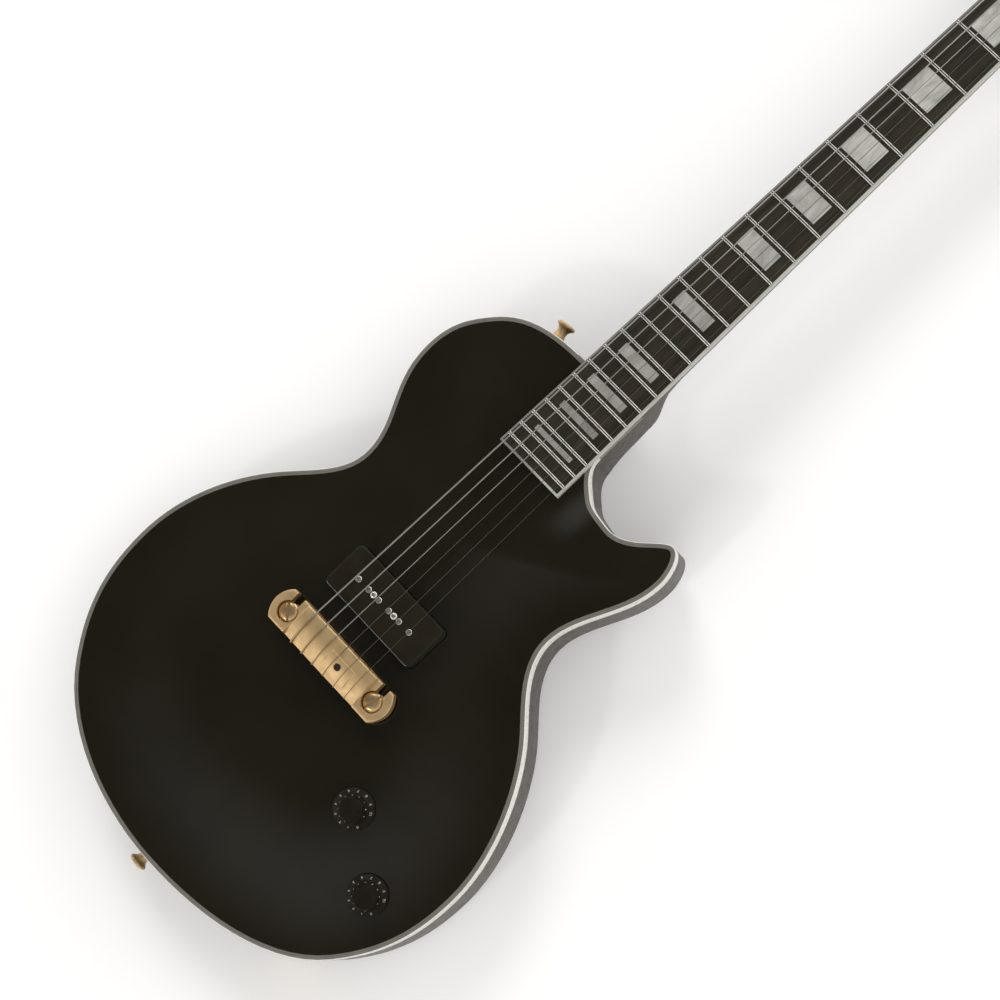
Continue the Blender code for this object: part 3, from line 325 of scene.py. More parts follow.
def guitar_pose():
    """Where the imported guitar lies, from the axis and place of one tuner post."""
    joint = JOINTS["post_turn_6"]
    lie = TILT + radians(HEAD_ANGLE) - atan2(joint["axis"][0], joint["axis"][2])
    turn = Matrix.Rotation(-lie, 4, "Y")
    post = HEAD @ Vector((POST_X[0], POST_Y, 0))
    return Matrix.Translation(Vector(joint["pos_m"]) - turn @ (post * MM)) @ turn


POSE = guitar_pose()


def axes(x_axis, y_axis, z_axis, point):
    """Frame at a point with three given axes."""
    return Matrix.Translation(point) @ Matrix((x_axis, y_axis, z_axis)).transposed().to_4x4()


def axis_frame(point, direction):
    """Frame at a point with z along the direction and x kept level."""
    z_axis = Vector(direction).normalized()
    guide = Vector((0, 0, 1)) if abs(z_axis.z) < 0.9 else Vector((0, 1, 0))
    x_axis = guide.cross(z_axis).normalized()
    return axes(x_axis, z_axis.cross(x_axis), z_axis, point)


def joint_frame(name):
    """Frame on a packed joint, z along its axis, in the guitar's frame."""
    back = POSE.inverted()
    place = back @ Vector(JOINTS[name]["pos_m"]) / MM
    return axis_frame(place, back.to_3x3() @ Vector(JOINTS[name]["axis"]))


def in_metres(place):
    """Frame whose place is in metres."""
    scaled = place.copy()
    scaled.translation = place.translation * MM
    return scaled


# Shapes as points and faces
def loft(rings, closed=False):
    """Skin over rings of equal count, capped at both ends or closed on itself."""
    count = len(rings[0])
    points = [p for ring in rings for p in ring]
    faces = []
    for i in range(len(rings) if closed else len(rings) - 1):
        a = i * count
        b = (i + 1) % len(rings) * count
        for j in range(count):
            k = (j + 1) % count
            faces.append((a + j, a + k, b + k, b + j))
    if not closed:
        faces.append(tuple(range(count)))
        faces.append(tuple(range(len(points) - count, len(points))))
    return points, faces


def level(outline, z):
    """Flat outline at a height."""
    return [(x, y, z) for x, y in outline]


def lifted(profile, height):
    """Radius and height pairs moved up."""
    return [(r, height + z) for r, z in profile]


def prism(outline, low, high):
    """Flat outline raised from one height to another."""
    return loft([level(outline, z) for z in (low, high)])


def block(x0, x1, y0, y1, z0, z1):
    """Box, for cuts."""
    return prism([(x0, y0), (x1, y0), (x1, y1), (x0, y1)], z0, z1)


def circle(radius, sides, x=0.0, y=0.0):
    """Points of a circle."""
    turns = [2 * pi * i / sides for i in range(sides)]
    return [(x + radius * cos(a), y + radius * sin(a)) for a in turns]


def lathe(profile, sides=40, closed=False):
    """Solid turned about z from radius and height pairs."""
    return loft([level(circle(r, sides), z) for r, z in profile], closed)


def rod(radius, low, high, sides=32, x=0.0, y=0.0):
    """Cylinder along z, for cuts."""
    return prism(circle(radius, sides, x, y), low, high)


def rounded(x_half, y_half, radius, steps=8, x=0.0):
    """Rectangle with rounded corners."""
    outline = []
    for turn, (sx, sy) in enumerate(CORNERS):
        for i in range(steps + 1):
            a = pi / 2 * (turn + i / steps)
            outline.append((x + sx * (x_half - radius) + radius * cos(a),
                            sy * (y_half - radius) + radius * sin(a)))
    return outline


def quarter(steps):
    """Shares of a rounded corner: how far it has gone along, and how far it still lies in."""
    turns = [pi / 2 * i / steps for i in range(steps + 1)]
    return [(1 - cos(a), 1 - sin(a)) for a in turns]


def capsule(start, end, radius, steps=20):
    """Slot outline round two centres."""
    heading = atan2(end[1] - start[1], end[0] - start[0])
    outline = []
    for centre, turn in ((end, -0.5), (start, 0.5)):
        for i in range(steps + 1):
            a = heading + pi * (turn + i / steps)
            outline.append((centre[0] + radius * cos(a), centre[1] + radius * sin(a)))
    return outline


def placed(shape, place):
    """Shape moved into a frame."""
    points, faces = shape
    return [tuple(place @ Vector(p)) for p in points], faces


def join_all(shapes):
    """Several shapes as one list of points and faces."""
    points, faces = [], []
    for more, skin in shapes:
        faces += [tuple(i + len(points) for i in face) for face in skin]
        points += more
    return points, faces


def curve_points(knots, steps):
    """Points along a chain of curves through knots with headings and handles."""
    points = []
    for a, b in zip(knots, knots[1:]):
        go, come = [Vector((cos(radians(knot[2])), sin(radians(knot[2])))) for knot in (a, b)]
        start, end = Vector(a[:2]), Vector(b[:2])
        chain = geometry.interpolate_bezier(start, start + go * a[4], end - come * b[3], end, steps + 1)
        points += [tuple(p) for p in chain[:-1]]
    return points + [tuple(knots[-1][:2])]


def inset(outline, amount):
    """Outline moved to its left, with mitred corners."""
    moved = []
    count = len(outline)
    for i, point in enumerate(outline):
        before = (Vector(point) - Vector(outline[i - 1])).normalized()
        after = (Vector(outline[(i + 1) % count]) - Vector(point)).normalized()
        n1 = Vector((-before.y, before.x))
        n2 = Vector((-after.y, after.x))
        shift = (n1 + n2) * (amount / (1 + n1.dot(n2)))
        moved.append((point[0] + shift.x, point[1] + shift.y))
    return moved


def between(marks, place, column):
    """Value of one column of marks at a place along the first."""
    table = numpy.array(marks)
    return float(numpy.interp(place, table[:, 0], table[:, column]))


def smooth(value):
    """Ease from 0 to 1."""
    u = numpy.clip(value, 0.0, 1.0)
    return u * u * (3 - 2 * u)


# Edge of the body, without the point next to its treble corner
EDGE = curve_points(EDGE_KNOTS, EDGE_STEPS)
del EDGE[-2]


def edge_distance(spots):
    """Distance of points from the body's edge."""
    start = numpy.array(EDGE)
    step = numpy.roll(start, -1, axis=0) - start
    away = spots[:, None, :] - start[None]
    part = numpy.clip((away * step).sum(2) / (step * step).sum(1), 0, 1)
    return numpy.sqrt(((away - part[..., None] * step) ** 2).sum(2)).min(1)


def bed_height(x):
    """Height in the body of the plane under the fretboard."""
    return NUT_AT.z + (NUT_AT.x - x) * tan(TILT) + BED / cos(TILT)


def top_heights(spots):
    """Heights of the carved top, which meets the fretboard's bed along the neck."""
    spots = numpy.array(spots, float).reshape(-1, 2)
    x, y = spots[:, 0], spots[:, 1]
    carve = RIM + CARVE_HEIGHT * smooth(edge_distance(spots) / CARVE_REACH)
    near = (1 - smooth((abs(y) - BED_HALF) / BED_FADE[1])) * smooth((x - BED_FROM) / BED_FADE[0])
    return carve + (bed_height(x) - carve) * near


def inside(outline, x, y):
    """Whether a spot lies within an outline."""
    within = False
    for (x0, y0), (x1, y1) in zip(outline, outline[1:] + outline[:1]):
        if (y0 > y) != (y1 > y) and x < x0 + (y - y0) * (x1 - x0) / (y1 - y0):
            within = not within
    return within


# Objects
def add(name, data):
    """New object in the scene."""
    thing = bpy.data.objects.new(name, data)
    bpy.context.scene.collection.objects.link(thing)
    return thing


def solid(name, shape, place=BODY, looks=()):
    """Mesh object from points, faces and kinds of face given in a frame."""
    points, faces, *kinds = shape
    build = bmesh.new()
    corners = [build.verts.new(POSE @ ((place @ Vector(p)) * MM)) for p in points]
    for i, face in enumerate(faces):
        made = build.faces.new([corners[k] for k in face])
        made.material_index = kinds[0][i] if kinds else 0
    bmesh.ops.recalc_face_normals(build, faces=build.faces)
    mesh = bpy.data.meshes.new(name)
    build.to_mesh(mesh)
    build.free()
    for look in looks:
        mesh.materials.append(finish_of(look))
    return add(name, mesh)


def cut(thing, shape, place=BODY, operation="DIFFERENCE"):
    """Cut a shape out of an object, or join it on."""
    tool = solid("tool", shape, place)
    step = thing.modifiers.new("cut", "BOOLEAN")
    step.operation = operation
    step.solver = "EXACT"
    step.object = tool
    bpy.context.view_layer.update()
    graph = bpy.context.evaluated_depsgraph_get()
    thing.data = bpy.data.meshes.new_from_object(thing.evaluated_get(graph))
    thing.modifiers.clear()
    bpy.data.objects.remove(tool)


def close(thing):
    """Close the slivers that cuts leave open."""
    build = bmesh.new()
    build.from_mesh(thing.data)
    bmesh.ops.holes_fill(build, edges=[e for e in build.edges if e.is_boundary], sides=0)
    build.to_mesh(thing.data)
    build.free()


def dress(thing, looks, body="guitar", stands_for="", bevel=0.0, angle=35):
    """Give an object its materials, shading, rounded edges, body and the node it stands for."""
    if thing.type == "MESH":
        thing.data.shade_smooth()
        thing.data.set_sharp_from_angle(angle=radians(angle))
    if bevel:
        edge = thing.modifiers.new("edges", "BEVEL")
        edge.width = bevel * MM
        edge.segments = 2
        edge.limit_method = "ANGLE"
        edge.angle_limit = radians(40)
        edge.harden_normals = True
    if not thing.data.materials:
        thing.data.materials.append(finish_of(looks))
    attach(thing, body)
    if stands_for:
        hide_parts(stands_for)
    return thing


def piece(name, shape, looks, place=BODY, cuts=(), **more):
    """Finished mesh piece, with shapes cut out of it in frames of its own."""
    thing = solid(name, shape, place, looks if len(shape) > 2 else ())
    for waste, spot in cuts:
        cut(thing, waste, place @ spot)
    return dress(thing, looks, **more)


# Materials
def node(tree, kind, **values):
    """Shader node with its plain settings and input values."""
    made = tree.nodes.new("ShaderNode" + kind)
    for key, value in values.items():
        if hasattr(made, key):
            setattr(made, key, value)
        else:
            made.inputs[key.replace("_", " ")].default_value = value
    return made


def link(output, target, entry):
    """Lead an output into an input of a node."""
    target.id_data.links.new(output, target.inputs[entry])


def base(name, **sockets):
    """New Principled material, its tree and its shader."""
    made = bpy.data.materials.new(name)
    made.use_nodes = True
    shader = made.node_tree.nodes["Principled BSDF"]
    for key, value in sockets.items():
        shader.inputs[key.replace("_", " ")].default_value = value
    return made, made.node_tree, shader


def noise(tree, scale, detail=3.0, stretch=(1, 1, 1), distortion=0.0):
    """Noise in object space, in features per metre."""
    mapping = node(tree, "Mapping", Scale=stretch)
    texture = node(tree, "TexNoise", Scale=scale, Detail=detail, Distortion=distortion)
    link(node(tree, "TexCoord").outputs["Object"], mapping, "Vector")
    link(mapping.outputs["Vector"], texture, "Vector")
    return texture.outputs["Fac"]


def along(tree, axis, start, end):
    """Value from 0 to 1 between two places on an axis, in metres."""
    parts = node(tree, "SeparateXYZ")
    spread = node(tree, "MapRange", From_Min=start, From_Max=end)
    link(node(tree, "TexCoord").outputs["Object"], parts, 0)
    link(parts.outputs[axis], spread, "Value")
    return spread.outputs["Result"]


def tint(tree, shader, value, dark, light, low=0.35, high=0.65):
    """Base colour between two shades, with their mean as the plain value behind it."""
    ramp = node(tree, "ValToRGB")
    first, last = ramp.color_ramp.elements
    first.position, last.position = low, high
    first.color = (*dark, 1)
    last.color = (*light, 1)
    shader.inputs["Base Color"].default_value = (*[(a + b) / 2 for a, b in zip(dark, light)], 1)
    link(value, ramp, "Fac")
    link(ramp.outputs["Color"], shader, "Base Color")


def fading(tree, shader, grain, share, first, last):
    """Base colour from two pairs of shades, one pair fading into the other."""
    mix = node(tree, "MixRGB")
    for socket, pair in (("Color1", first), ("Color2", last)):
        tint(tree, shader, grain, *pair, 0.3, 0.7)
        link(shader.inputs["Base Color"].links[0].from_socket, mix, socket)
    link(share, mix, "Fac")
    link(mix.outputs["Color"], shader, "Base Color")


def gloss(tree, shader, value, low, high):
    """Roughness between two levels, with their mean as the plain value behind it."""
    spread = node(tree, "MapRange", From_Min=0.3, From_Max=0.7, To_Min=low, To_Max=high)
    shader.inputs["Roughness"].default_value = (low + high) / 2
    link(value, spread, "Value")
    link(spread.outputs["Result"], shader, "Roughness")


def relief(tree, shader, value, strength, depth):
    """Fine bumps, with their depth in millimetres."""
    bump = node(tree, "Bump", Strength=strength, Distance=depth * MM)
    link(value, bump, "Height")
    link(bump.outputs["Normal"], shader, "Normal")


def paint(name, shades, sheen=None, bumps=None, **sockets):
    """Material whose shades, roughness and bumps each follow a noise of their own."""
    made, tree, shader = base(name, **sockets)
    for change, setting in ((tint, shades), (gloss, sheen), (relief, bumps)):
        if setting:
            change(tree, shader, noise(tree, *setting[0]), *setting[1:])
    return made


def polished(name, colour, low, high, scale=260):
    """Metal with fine wear in its polish."""
    darker = tuple(0.86 * c for c in colour)
    return paint(name, ((110, 4), darker, colour), ((scale, 5), low, high), ((1500, 2), 0.05, 0.02),
                 Metallic=1.0)


def lacquer(name):
    """Gloss black lacquer with faint polishing marks."""
    return paint(name, ((14, 4), (0.0074, 0.0057, 0.0023), (0.0102, 0.0082, 0.0038)),
                 ((130, 5, (1, 0.35, 1)), 0.07, 0.15), ((700, 2), 0.04, 0.02))


def side_lacquer(name):
    """Thinner, duller lacquer of the sides, back and neck."""
    return paint(name, ((12, 3), (0.024, 0.0164, 0.0058), (0.032, 0.0220, 0.0082)),
                 ((220, 5), 0.3, 0.42), ((900, 3), 0.06, 0.02), Specular_IOR_Level=0.26)


def ivory(name):
    """Off-white binding with slight yellowing."""
    return paint(name, ((45, 4), (0.66, 0.64, 0.58), (0.74, 0.725, 0.68)), ((300, 3), 0.22, 0.4))


def old_ivory(name):
    """Greyed binding of the fretboard, darker on the bass side with painted shade."""
    made, tree, shader = base(name)
    # Darker pair on the bass side is painted shade, paler pair on the treble side painted light
    shaded_bass = ((0.19, 0.18, 0.16), (0.24, 0.23, 0.205))
    lit_treble = ((0.44, 0.425, 0.385), (0.52, 0.505, 0.465))
    fading(tree, shader, noise(tree, 60, 4), along(tree, "Y", 0.012, -0.012), shaded_bass, lit_treble)
    gloss(tree, shader, noise(tree, 300, 3), 0.28, 0.45)
    return made


def ply_light(name):
    """Pale ply in the top of the binding."""
    return paint(name, ((90, 3), (0.175, 0.165, 0.145), (0.205, 0.195, 0.172)), Roughness=0.3)


def ply_dark(name):
    """Dark ply in the top of the binding."""
    return paint(name, ((90, 3), (0.12, 0.112, 0.098), (0.14, 0.131, 0.115)), Roughness=0.3)


def ebony(name):
    """Oiled dark wood with streaks and pores along the neck."""
    return paint(name, ((260, 6, (0.06, 1, 1), 0.6), (0.013, 0.0094, 0.0055), (0.030, 0.0224, 0.0132)),
                 ((420, 4, (0.1, 1, 1)), 0.36, 0.56), ((2400, 3, (0.05, 1, 1)), 0.25, 0.05),
                 Specular_IOR_Level=0.28)


def pearl(name):
    """Grey pearl with cloudy bands, paler toward the nut."""
    made, tree, shader = base(name)
    grey = ((0.21, 0.204, 0.188), (0.35, 0.34, 0.315))
    pale = ((0.38, 0.37, 0.345), (0.64, 0.63, 0.60))
    fading(tree, shader, noise(tree, 60, 4, (0.7, 1.6, 1), 1.2), along(tree, "X", -0.08, 0.22), grey, pale)
    gloss(tree, shader, noise(tree, 200, 3), 0.15, 0.32)
    return made


def gold(name):
    """Gold plate, slightly worn."""
    return polished(name, (0.59, 0.42, 0.22), 0.48, 0.6)


def bright_gold(name):
    """Polished gold of the studs."""
    return polished(name, (0.66, 0.47, 0.25), 0.28, 0.4)


def brass(name):
    """Dull brass of the string ends."""
    return polished(name, (0.36, 0.26, 0.135), 0.4, 0.55)


def nickel(name):
    """Nickel silver fret wire."""
    return polished(name, (0.56, 0.545, 0.515), 0.12, 0.24, 900)


def steel(name):
    """Plain steel of screws and the socket."""
    return polished(name, (0.62, 0.61, 0.59), 0.2, 0.38, 500)


def plain_wire(name):
    """Dulled steel of the treble strings."""
    return polished(name, (0.14, 0.136, 0.128), 0.3, 0.45, 700)


def wound(name):
    """Nickel winding of the bass strings, turn by turn."""
    made, tree, shader = base(name, Roughness=0.34, Metallic=1.0)
    turns = node(tree, "TexWave", bands_direction="X", Scale=900.0, Distortion=0.0)
    link(node(tree, "TexCoord").outputs["Object"], turns, "Vector")
    tint(tree, shader, turns.outputs["Fac"], (0.32, 0.312, 0.295), (0.40, 0.39, 0.37), 0.1, 0.9)
    relief(tree, shader, turns.outputs["Fac"], 0.15, 0.03)
    return made


def satin(name):
    """Satin black moulded plastic."""
    return paint(name, ((70, 3), (0.017, 0.0142, 0.0095), (0.021, 0.0178, 0.0125)),
                 ((600, 4), 0.14, 0.26), ((3000, 2), 0.12, 0.02), Specular_IOR_Level=0.05)


def worn_black(name):
    """Pale paint on the black plastic's edge, a painted highlight."""
    return paint(name, ((90, 3), (0.2, 0.185, 0.16), (0.34, 0.31, 0.27)), ((600, 4), 0.25, 0.4),
                 Specular_IOR_Level=0.2)


def knob_black(name):
    """Black knob plastic with rub marks."""
    return paint(name, ((150, 3), (0.0104, 0.0088, 0.0060), (0.0132, 0.0114, 0.0080)), ((500, 4), 0.3, 0.45),
                 Specular_IOR_Level=0.05)


def numeral(name):
    """Pale gold paint of the printed numbers, and of the dots that are painted glints."""
    return paint(name, ((350, 3), (0.13, 0.10, 0.07), (0.70, 0.65, 0.55)), Roughness=0.4)


def copper(name):
    """Enamelled wire of the coil."""
    return paint(name, ((500, 3, (1, 1, 8)), (0.28, 0.11, 0.05), (0.45, 0.2, 0.09)), Roughness=0.4)


def dark_hole(name):
    """Near-black paint inside small recesses, a painted shade."""
    return paint(name, ((400, 2), (0.006, 0.005, 0.004), (0.014, 0.012, 0.010)), Roughness=0.6)


MAKERS = {maker.__name__: maker for maker in (
    lacquer, side_lacquer, ivory, old_ivory, ply_light, ply_dark, ebony, pearl, gold, bright_gold, brass,
    nickel, steel, wound, plain_wire, satin, worn_black, knob_black, numeral, copper, dark_hole)}
FINISHES = {}


def finish_of(look):
    """Material of a kind, made once."""
    if look not in FINISHES:
        FINISHES[look] = MAKERS[look](look)
    return FINISHES[look]


# Screws and nuts
def screw_head(name, place, radius, height=0.9, look="gold"):
    """Domed screw head with a cross recess."""
    profile = [(radius, -0.2), (radius, 0.25 * height), (0.86 * radius, 0.62 * height),
               (0.55 * radius, 0.9 * height), (0.2 * radius, height)]
    arm, wide = 0.62 * radius, 0.15 * radius
    corner = [(arm, wide), (wide, wide), (wide, arm)]
    cross = []
    for _ in range(4):
        cross += corner
        corner = [(-y, x) for x, y in corner]
    turn = Matrix.Rotation(0.4 + 1.7 * radius * len(name), 4, "Z")
    return piece(name, lathe(profile, 24), look, place, [(prism(cross, 0.3 * height, 3), turn)])


def hex_nut(name, place, radius, bore, low, high, bevel):
    """Six-sided nut round a threaded neck."""
    piece(name, prism(circle(radius, 6), low, high), "steel", place, [(rod(bore, -9, 9), BODY)], bevel=bevel)


# Body
EDGE_MARKS = curve_points(EDGE_KNOTS, MARK_STEPS)


def edge_frame(mark, height):
    """Frame on the body's side wall, z outward, at a share of the way past an edge mark."""
    index, part = mark
    a, b = Vector(EDGE_MARKS[index]), Vector(EDGE_MARKS[index + 1])
    ahead = (b - a).normalized()
    at = a + (b - a) * part
    return axis_frame((at.x, at.y, height), (ahead.y, -ahead.x, 0))


def board_footprint(low, high, extra):
    """Solid over the fretboard's plan with a margin, in the neck frame."""
    rings = []
    for distance in (-extra, BOARD_LENGTH + extra):
        w = half_width(distance) + extra
        rings.append([(-distance, -w, low), (-distance, w, low), (-distance, w, high), (-distance, -w, high)])
    return loft(rings)


VOLUME = joint_frame("volume_turn")
TONE = joint_frame("tone_turn")
JACK = edge_frame(JACK_MARK, JACK_Z)
STRAPS = {"shoulder": edge_frame(SHOULDER_MARK, STRAP_Z), "tail": edge_frame(TAIL_MARK, STRAP_Z)}
MORTISE = block(TENON_START - GAP, BODY_END + 20, -TENON_HALF - GAP, TENON_HALF + GAP, TENON_LOW - GAP,
                RIM + 30)
NECK_ROOM = [(MORTISE, BODY), (board_footprint(BED - SKIN, 30, 0.1), NECK)]


def heel_scoop():
    """Waste outside the rounded back corner between the cutaway and the neck."""
    far = BODY_END + 5
    low, out = BACK - 10, JOINT_Y - 20
    rings = []
    for x in numpy.concatenate((numpy.linspace(199, 218, 14), numpy.linspace(222, far, 5))):
        wide = between(SCOOP_MARKS, x, 1)
        high = between(SCOOP_MARKS, x, 2)
        ring = [(x, JOINT_Y + wide, low)]
        for late, drawn in reversed(quarter(18)):
            ring.append((x, JOINT_Y + wide * late, BACK + high * drawn))
        rings.append(ring + [(x, out, BACK + high), (x, out, low)])
    return loft(rings)


def body_shell():
    """Main block of the body with its rounded back edge and its rooms."""
    rings = []
    for late, drawn in quarter(8):
        rings.append(level(inset(EDGE, BACK_ROUND * drawn), BACK + BACK_ROUND * late))
    rings.append(level(EDGE, CAP_LOW - SKIN))
    lid = capsule(VOLUME_AT, TONE_AT, CAVITY_R + COVER_LIP + GAP)
    plate = rounded(JACK_PLATE[0] / 2 + GAP, JACK_PLATE[1] / 2 + GAP, JACK_CORNER + GAP)
    rooms = [heel_scoop(), MORTISE, prism(capsule(VOLUME_AT, TONE_AT, CAVITY_R), BACK - 5, RIM),
             prism(lid, BACK - 5, BACK + COVER_THICK + GAP)]
    cuts = [(room, BODY) for room in rooms]
    cuts += [(prism(plate, -JACK_SINK, 12), JACK), (rod(JACK_ROOM_R, -26, 5), JACK)]
    piece("body_shell", loft(rings), "side_lacquer", cuts=cuts, stands_for="body_back", angle=25)


def top_spots(rim):
    """Grid of points over the top inside the binding."""
    grid = []
    for row in range(int(GRID_SPAN[1] / (TOP_GRID * ROW_STEP)) + 1):
        y = GRID_START[1] + row * TOP_GRID * ROW_STEP
        for column in range(int(GRID_SPAN[0] / TOP_GRID) + 1):
            grid.append((GRID_START[0] + (column + 0.5 * (row % 2)) * TOP_GRID, y))
    far = edge_distance(numpy.array(grid)) > BINDING_WIDE + 0.5 * TOP_GRID
    return [spot for spot, keep in zip(grid, far) if keep and inside(rim, *spot)]


def carved_top():
    """Carved cap inside the binding."""
    rim = inset(EDGE, BINDING_WIDE + 0.02)
    spots = [Vector(p) for p in rim + top_spots(rim)]
    count = len(rim)
    ring = [(i, (i + 1) % count) for i in range(count)]
    flat, _, faces, _, _, _ = geometry.delaunay_2d_cdt(spots, ring, [], 1, 0.0001)
    heights = top_heights([tuple(p) for p in flat])
    points = [(p.x, p.y, float(z)) for p, z in zip(flat, heights)]
    low = len(points)
    points += level(rim, CAP_LOW)
    faces = [tuple(f) for f in faces]
    faces += [(a, b, low + b, low + a) for a, b in ring]
    faces.append(tuple(range(low, low + count)))
    pocket = rounded(PICKUP_WIDE / 2 + 0.5, PICKUP_LONG / 2 + 0.5, PICKUP_CORNER + 0.5, 8, PICKUP_X)
    cuts = NECK_ROOM + [(prism(pocket, POCKET_FLOOR, CLEAR), BODY)]
    for sign in SIDES.values():
        cuts.append((rod(BUSHING_R + 0.1, CAP_LOW + 2, CLEAR, 32, STUD_X, sign * STUD_Y), BODY))
    cuts += [(rod(POT_NECK_R + GAP, -40, 20), place) for place in (VOLUME, TONE)]
    piece("carved_top", (points, faces), "lacquer", cuts=cuts, stands_for="body_top", angle=25)


def runs_out(x, y):
    """How far the pale side of the binding has run out where the cutaway meets the neck."""
    low, high = RUN_OUT_SIDES
    return smooth((x - RUN_OUT_FROM) / RUN_OUT_LONG) if low < y < high else 0.0


def edge_binding():
    """Binding round the top: pale outer side, plies in its upper face."""
    steps = [BINDING_WIDE - sum(PLIES) + w for w in numpy.cumsum((0,) + PLIES)]
    corner = [(0.0, 1.0), (0.1, 0.55), (0.3, 0.25), (0.55, 0.08)]
    marks = corner + [(w, 0.0) for w in steps[1:]]
    outlines = [inset(EDGE, inward) if inward else EDGE for inward, _ in marks]
    heights = [top_heights(outline) - drop for outline, (_, drop) in zip(outlines, marks)]
    rings = []
    for i, (x, y) in enumerate(EDGE):
        split = CAP_LOW + 0.5 + (BINDING_DEEP - 2.1) * float(runs_out(x, y))
        ring = [(x, y, CAP_LOW), (x, y, split)]
        ring += [(*outline[i], float(z[i])) for outline, z in zip(outlines, heights)]
        rings.append(ring + [(*outlines[-1][i], CAP_LOW)])
    points, faces = loft(rings, closed=True)
    count = len(rings[0])
    first = len(corner) + 1
    kinds = []
    for i in range(len(faces)):
        j = i % count
        gone = runs_out(*EDGE[i // count])
        if first <= j < count - 2:
            kinds.append(1 + (j - first) % 2)
        elif j == 0 and gone > 0:
            kinds.append(3)
        else:
            kinds.append(2 if gone == 1 else 0)
    looks = ("ivory", "ply_dark", "ply_light", "side_lacquer")
    piece("edge_binding", (points, faces, kinds), looks, cuts=NECK_ROOM, stands_for="top_binding")


def back_cover():
    """Plate over the control cavity with its screws."""
    plate = capsule(VOLUME_AT, TONE_AT, CAVITY_R + COVER_LIP)
    piece("back_cover", prism(plate, BACK + 0.1, BACK + COVER_THICK), "satin", bevel=0.5,
          stands_for="control_cover")
    ahead = (Vector(TONE_AT) - Vector(VOLUME_AT)).normalized()
    across = Vector((-ahead.y, ahead.x))
    ways = ((VOLUME_AT, -ahead), (TONE_AT, ahead), (VOLUME_AT, across), (TONE_AT, -across))
    for i, (centre, way) in enumerate(ways):
        at = Vector(centre) + way * (CAVITY_R + 0.5 * COVER_LIP)
        place = axis_frame((at.x, at.y, BACK + 0.1), (0, 0, -1))
        screw_head("cover_screw_%d" % i, place, 1.6, 0.5, "steel")


def output_socket():
    """Socket with its nut, and its plate with four screws."""
    low = GAP - JACK_SINK
    top = low + 2
    half_x, half_y = JACK_PLATE[0] / 2, JACK_PLATE[1] / 2
    piece("socket_plate", prism(rounded(half_x, half_y, JACK_CORNER), low, top), "gold", JACK,
          [(rod(JACK_NECK_R + 0.15, -9, 9), BODY)], stands_for="jack_plate", bevel=0.5)
    seat = top + SKIN
    profile = [(JACK_BORE_R, -16), (6, -16), (6, -12), (8, -12), (8, low - 1.3), (JACK_NECK_R, low - 1.3)]
    profile += lifted([(JACK_NECK_R, 1.6), (4.4, 1.9), (JACK_BORE_R + 0.3, 1.9), (JACK_BORE_R, 1.5)], seat)
    piece("socket_barrel", lathe(profile, 48, closed=True), "steel", JACK, stands_for="output_jack")
    hex_nut("socket_nut", JACK, JACK_NUT_R, JACK_NECK_R + SKIN, seat, seat + 1.4, 0.4)
    for i, (sx, sy) in enumerate(CORNERS):
        screw_head("socket_screw_%d" % i, JACK @ move(sx * (half_x - 4), sy * (half_y - 4), top), 1.7, 0.8)


def strap_buttons():
    """Turned strap buttons, each with its screw."""
    profile = [(1.2, -12), (STRAP_SHANK_R, -10), (STRAP_SHANK_R, GAP), (5.1, GAP), (5.2, 0.7), (5.0, 1.9),
               (4.3, 3.2), (3.9, 4.8), (3.9, 6.6), (4.4, 8.2), (5.6, 9.6), (6.8, 10.6), (7.0, 11.2),
               (6.9, 11.9), (6.3, 12.5), (5.4, 12.9), (4.2, 13.0), (3.9, 12.4), (2.6, STRAP_SCREW_Z)]
    for name, place in STRAPS.items():
        piece("strap_peg_" + name, lathe(profile, 48), "gold", place, stands_for="strap_button_" + name)
        screw_head("strap_screw_" + name, place @ move(0, 0, STRAP_SCREW_Z), 2.5)


# Neck
def neck_ring(distance, depth, power, half=None, count=33):
    """Rounded section of the neck under the fretboard."""
    w = half_width(distance) if half is None else half
    ring = []
    for i in range(count):
        a = pi * i / (count - 1)
        y = w * copysign(abs(cos(a)) ** (2 / power), cos(a))
        ring.append(NECK @ Vector((-distance, y, BED - depth * abs(sin(a)) ** (2 / power))))
    return ring


def neck_rings():
    """Sections from the body joint to the inside of the headstock."""
    face = BODY_END + SKIN
    joint = fret_at(JOINT_FRET) + (NUT_AT.x - fret_at(JOINT_FRET) * cos(TILT) - face)
    depth = bed_height(BODY_END) - HEEL_LOW + 3
    ahead = NECK.to_3x3() @ Vector((1, 0, 0))
    rings = [[p + ahead * ((face - p.x) / ahead.x) for p in neck_ring(joint, depth, HEEL_POWER)]]
    for back in numpy.linspace(4, 40, 19):
        share, power = between(HEEL_MARKS, back, 1), between(HEEL_MARKS, back, 2)
        rings.append(neck_ring(joint - back, NECK_DEPTH_MID + (depth - NECK_DEPTH_MID) * share, power))
    for distance in (250.0, 190.0, 120.0, 60.0, 8.0):
        share = distance / fret_at(12)
        deep = NECK_DEPTH_NUT + (NECK_DEPTH_MID - NECK_DEPTH_NUT) * share
        rings.append(neck_ring(distance, deep, NECK_POWER))
    rings.append(neck_ring(-4.5, NECK_DEPTH_NUT - 1.5, NECK_POWER))
    buried = []
    for p in neck_ring(0, 1, NECK_POWER, NUT_WIDTH / 2 - 3):
        local = NECK.inverted() @ p
        buried.append(HEAD @ Vector((HEAD_ROOT, local.y, -1.5 + (local.z - BED) * 9.5)))
    return rings + [buried]


def head_outline(drawn_in=0.0):
    """Plan of the headstock, both sides."""
    half = curve_points(HEAD_KNOTS, 12)
    outline = half + [(x, -y) for x, y in reversed(half[:-1])]
    return inset(outline[::-1], drawn_in)[::-1] if drawn_in else outline


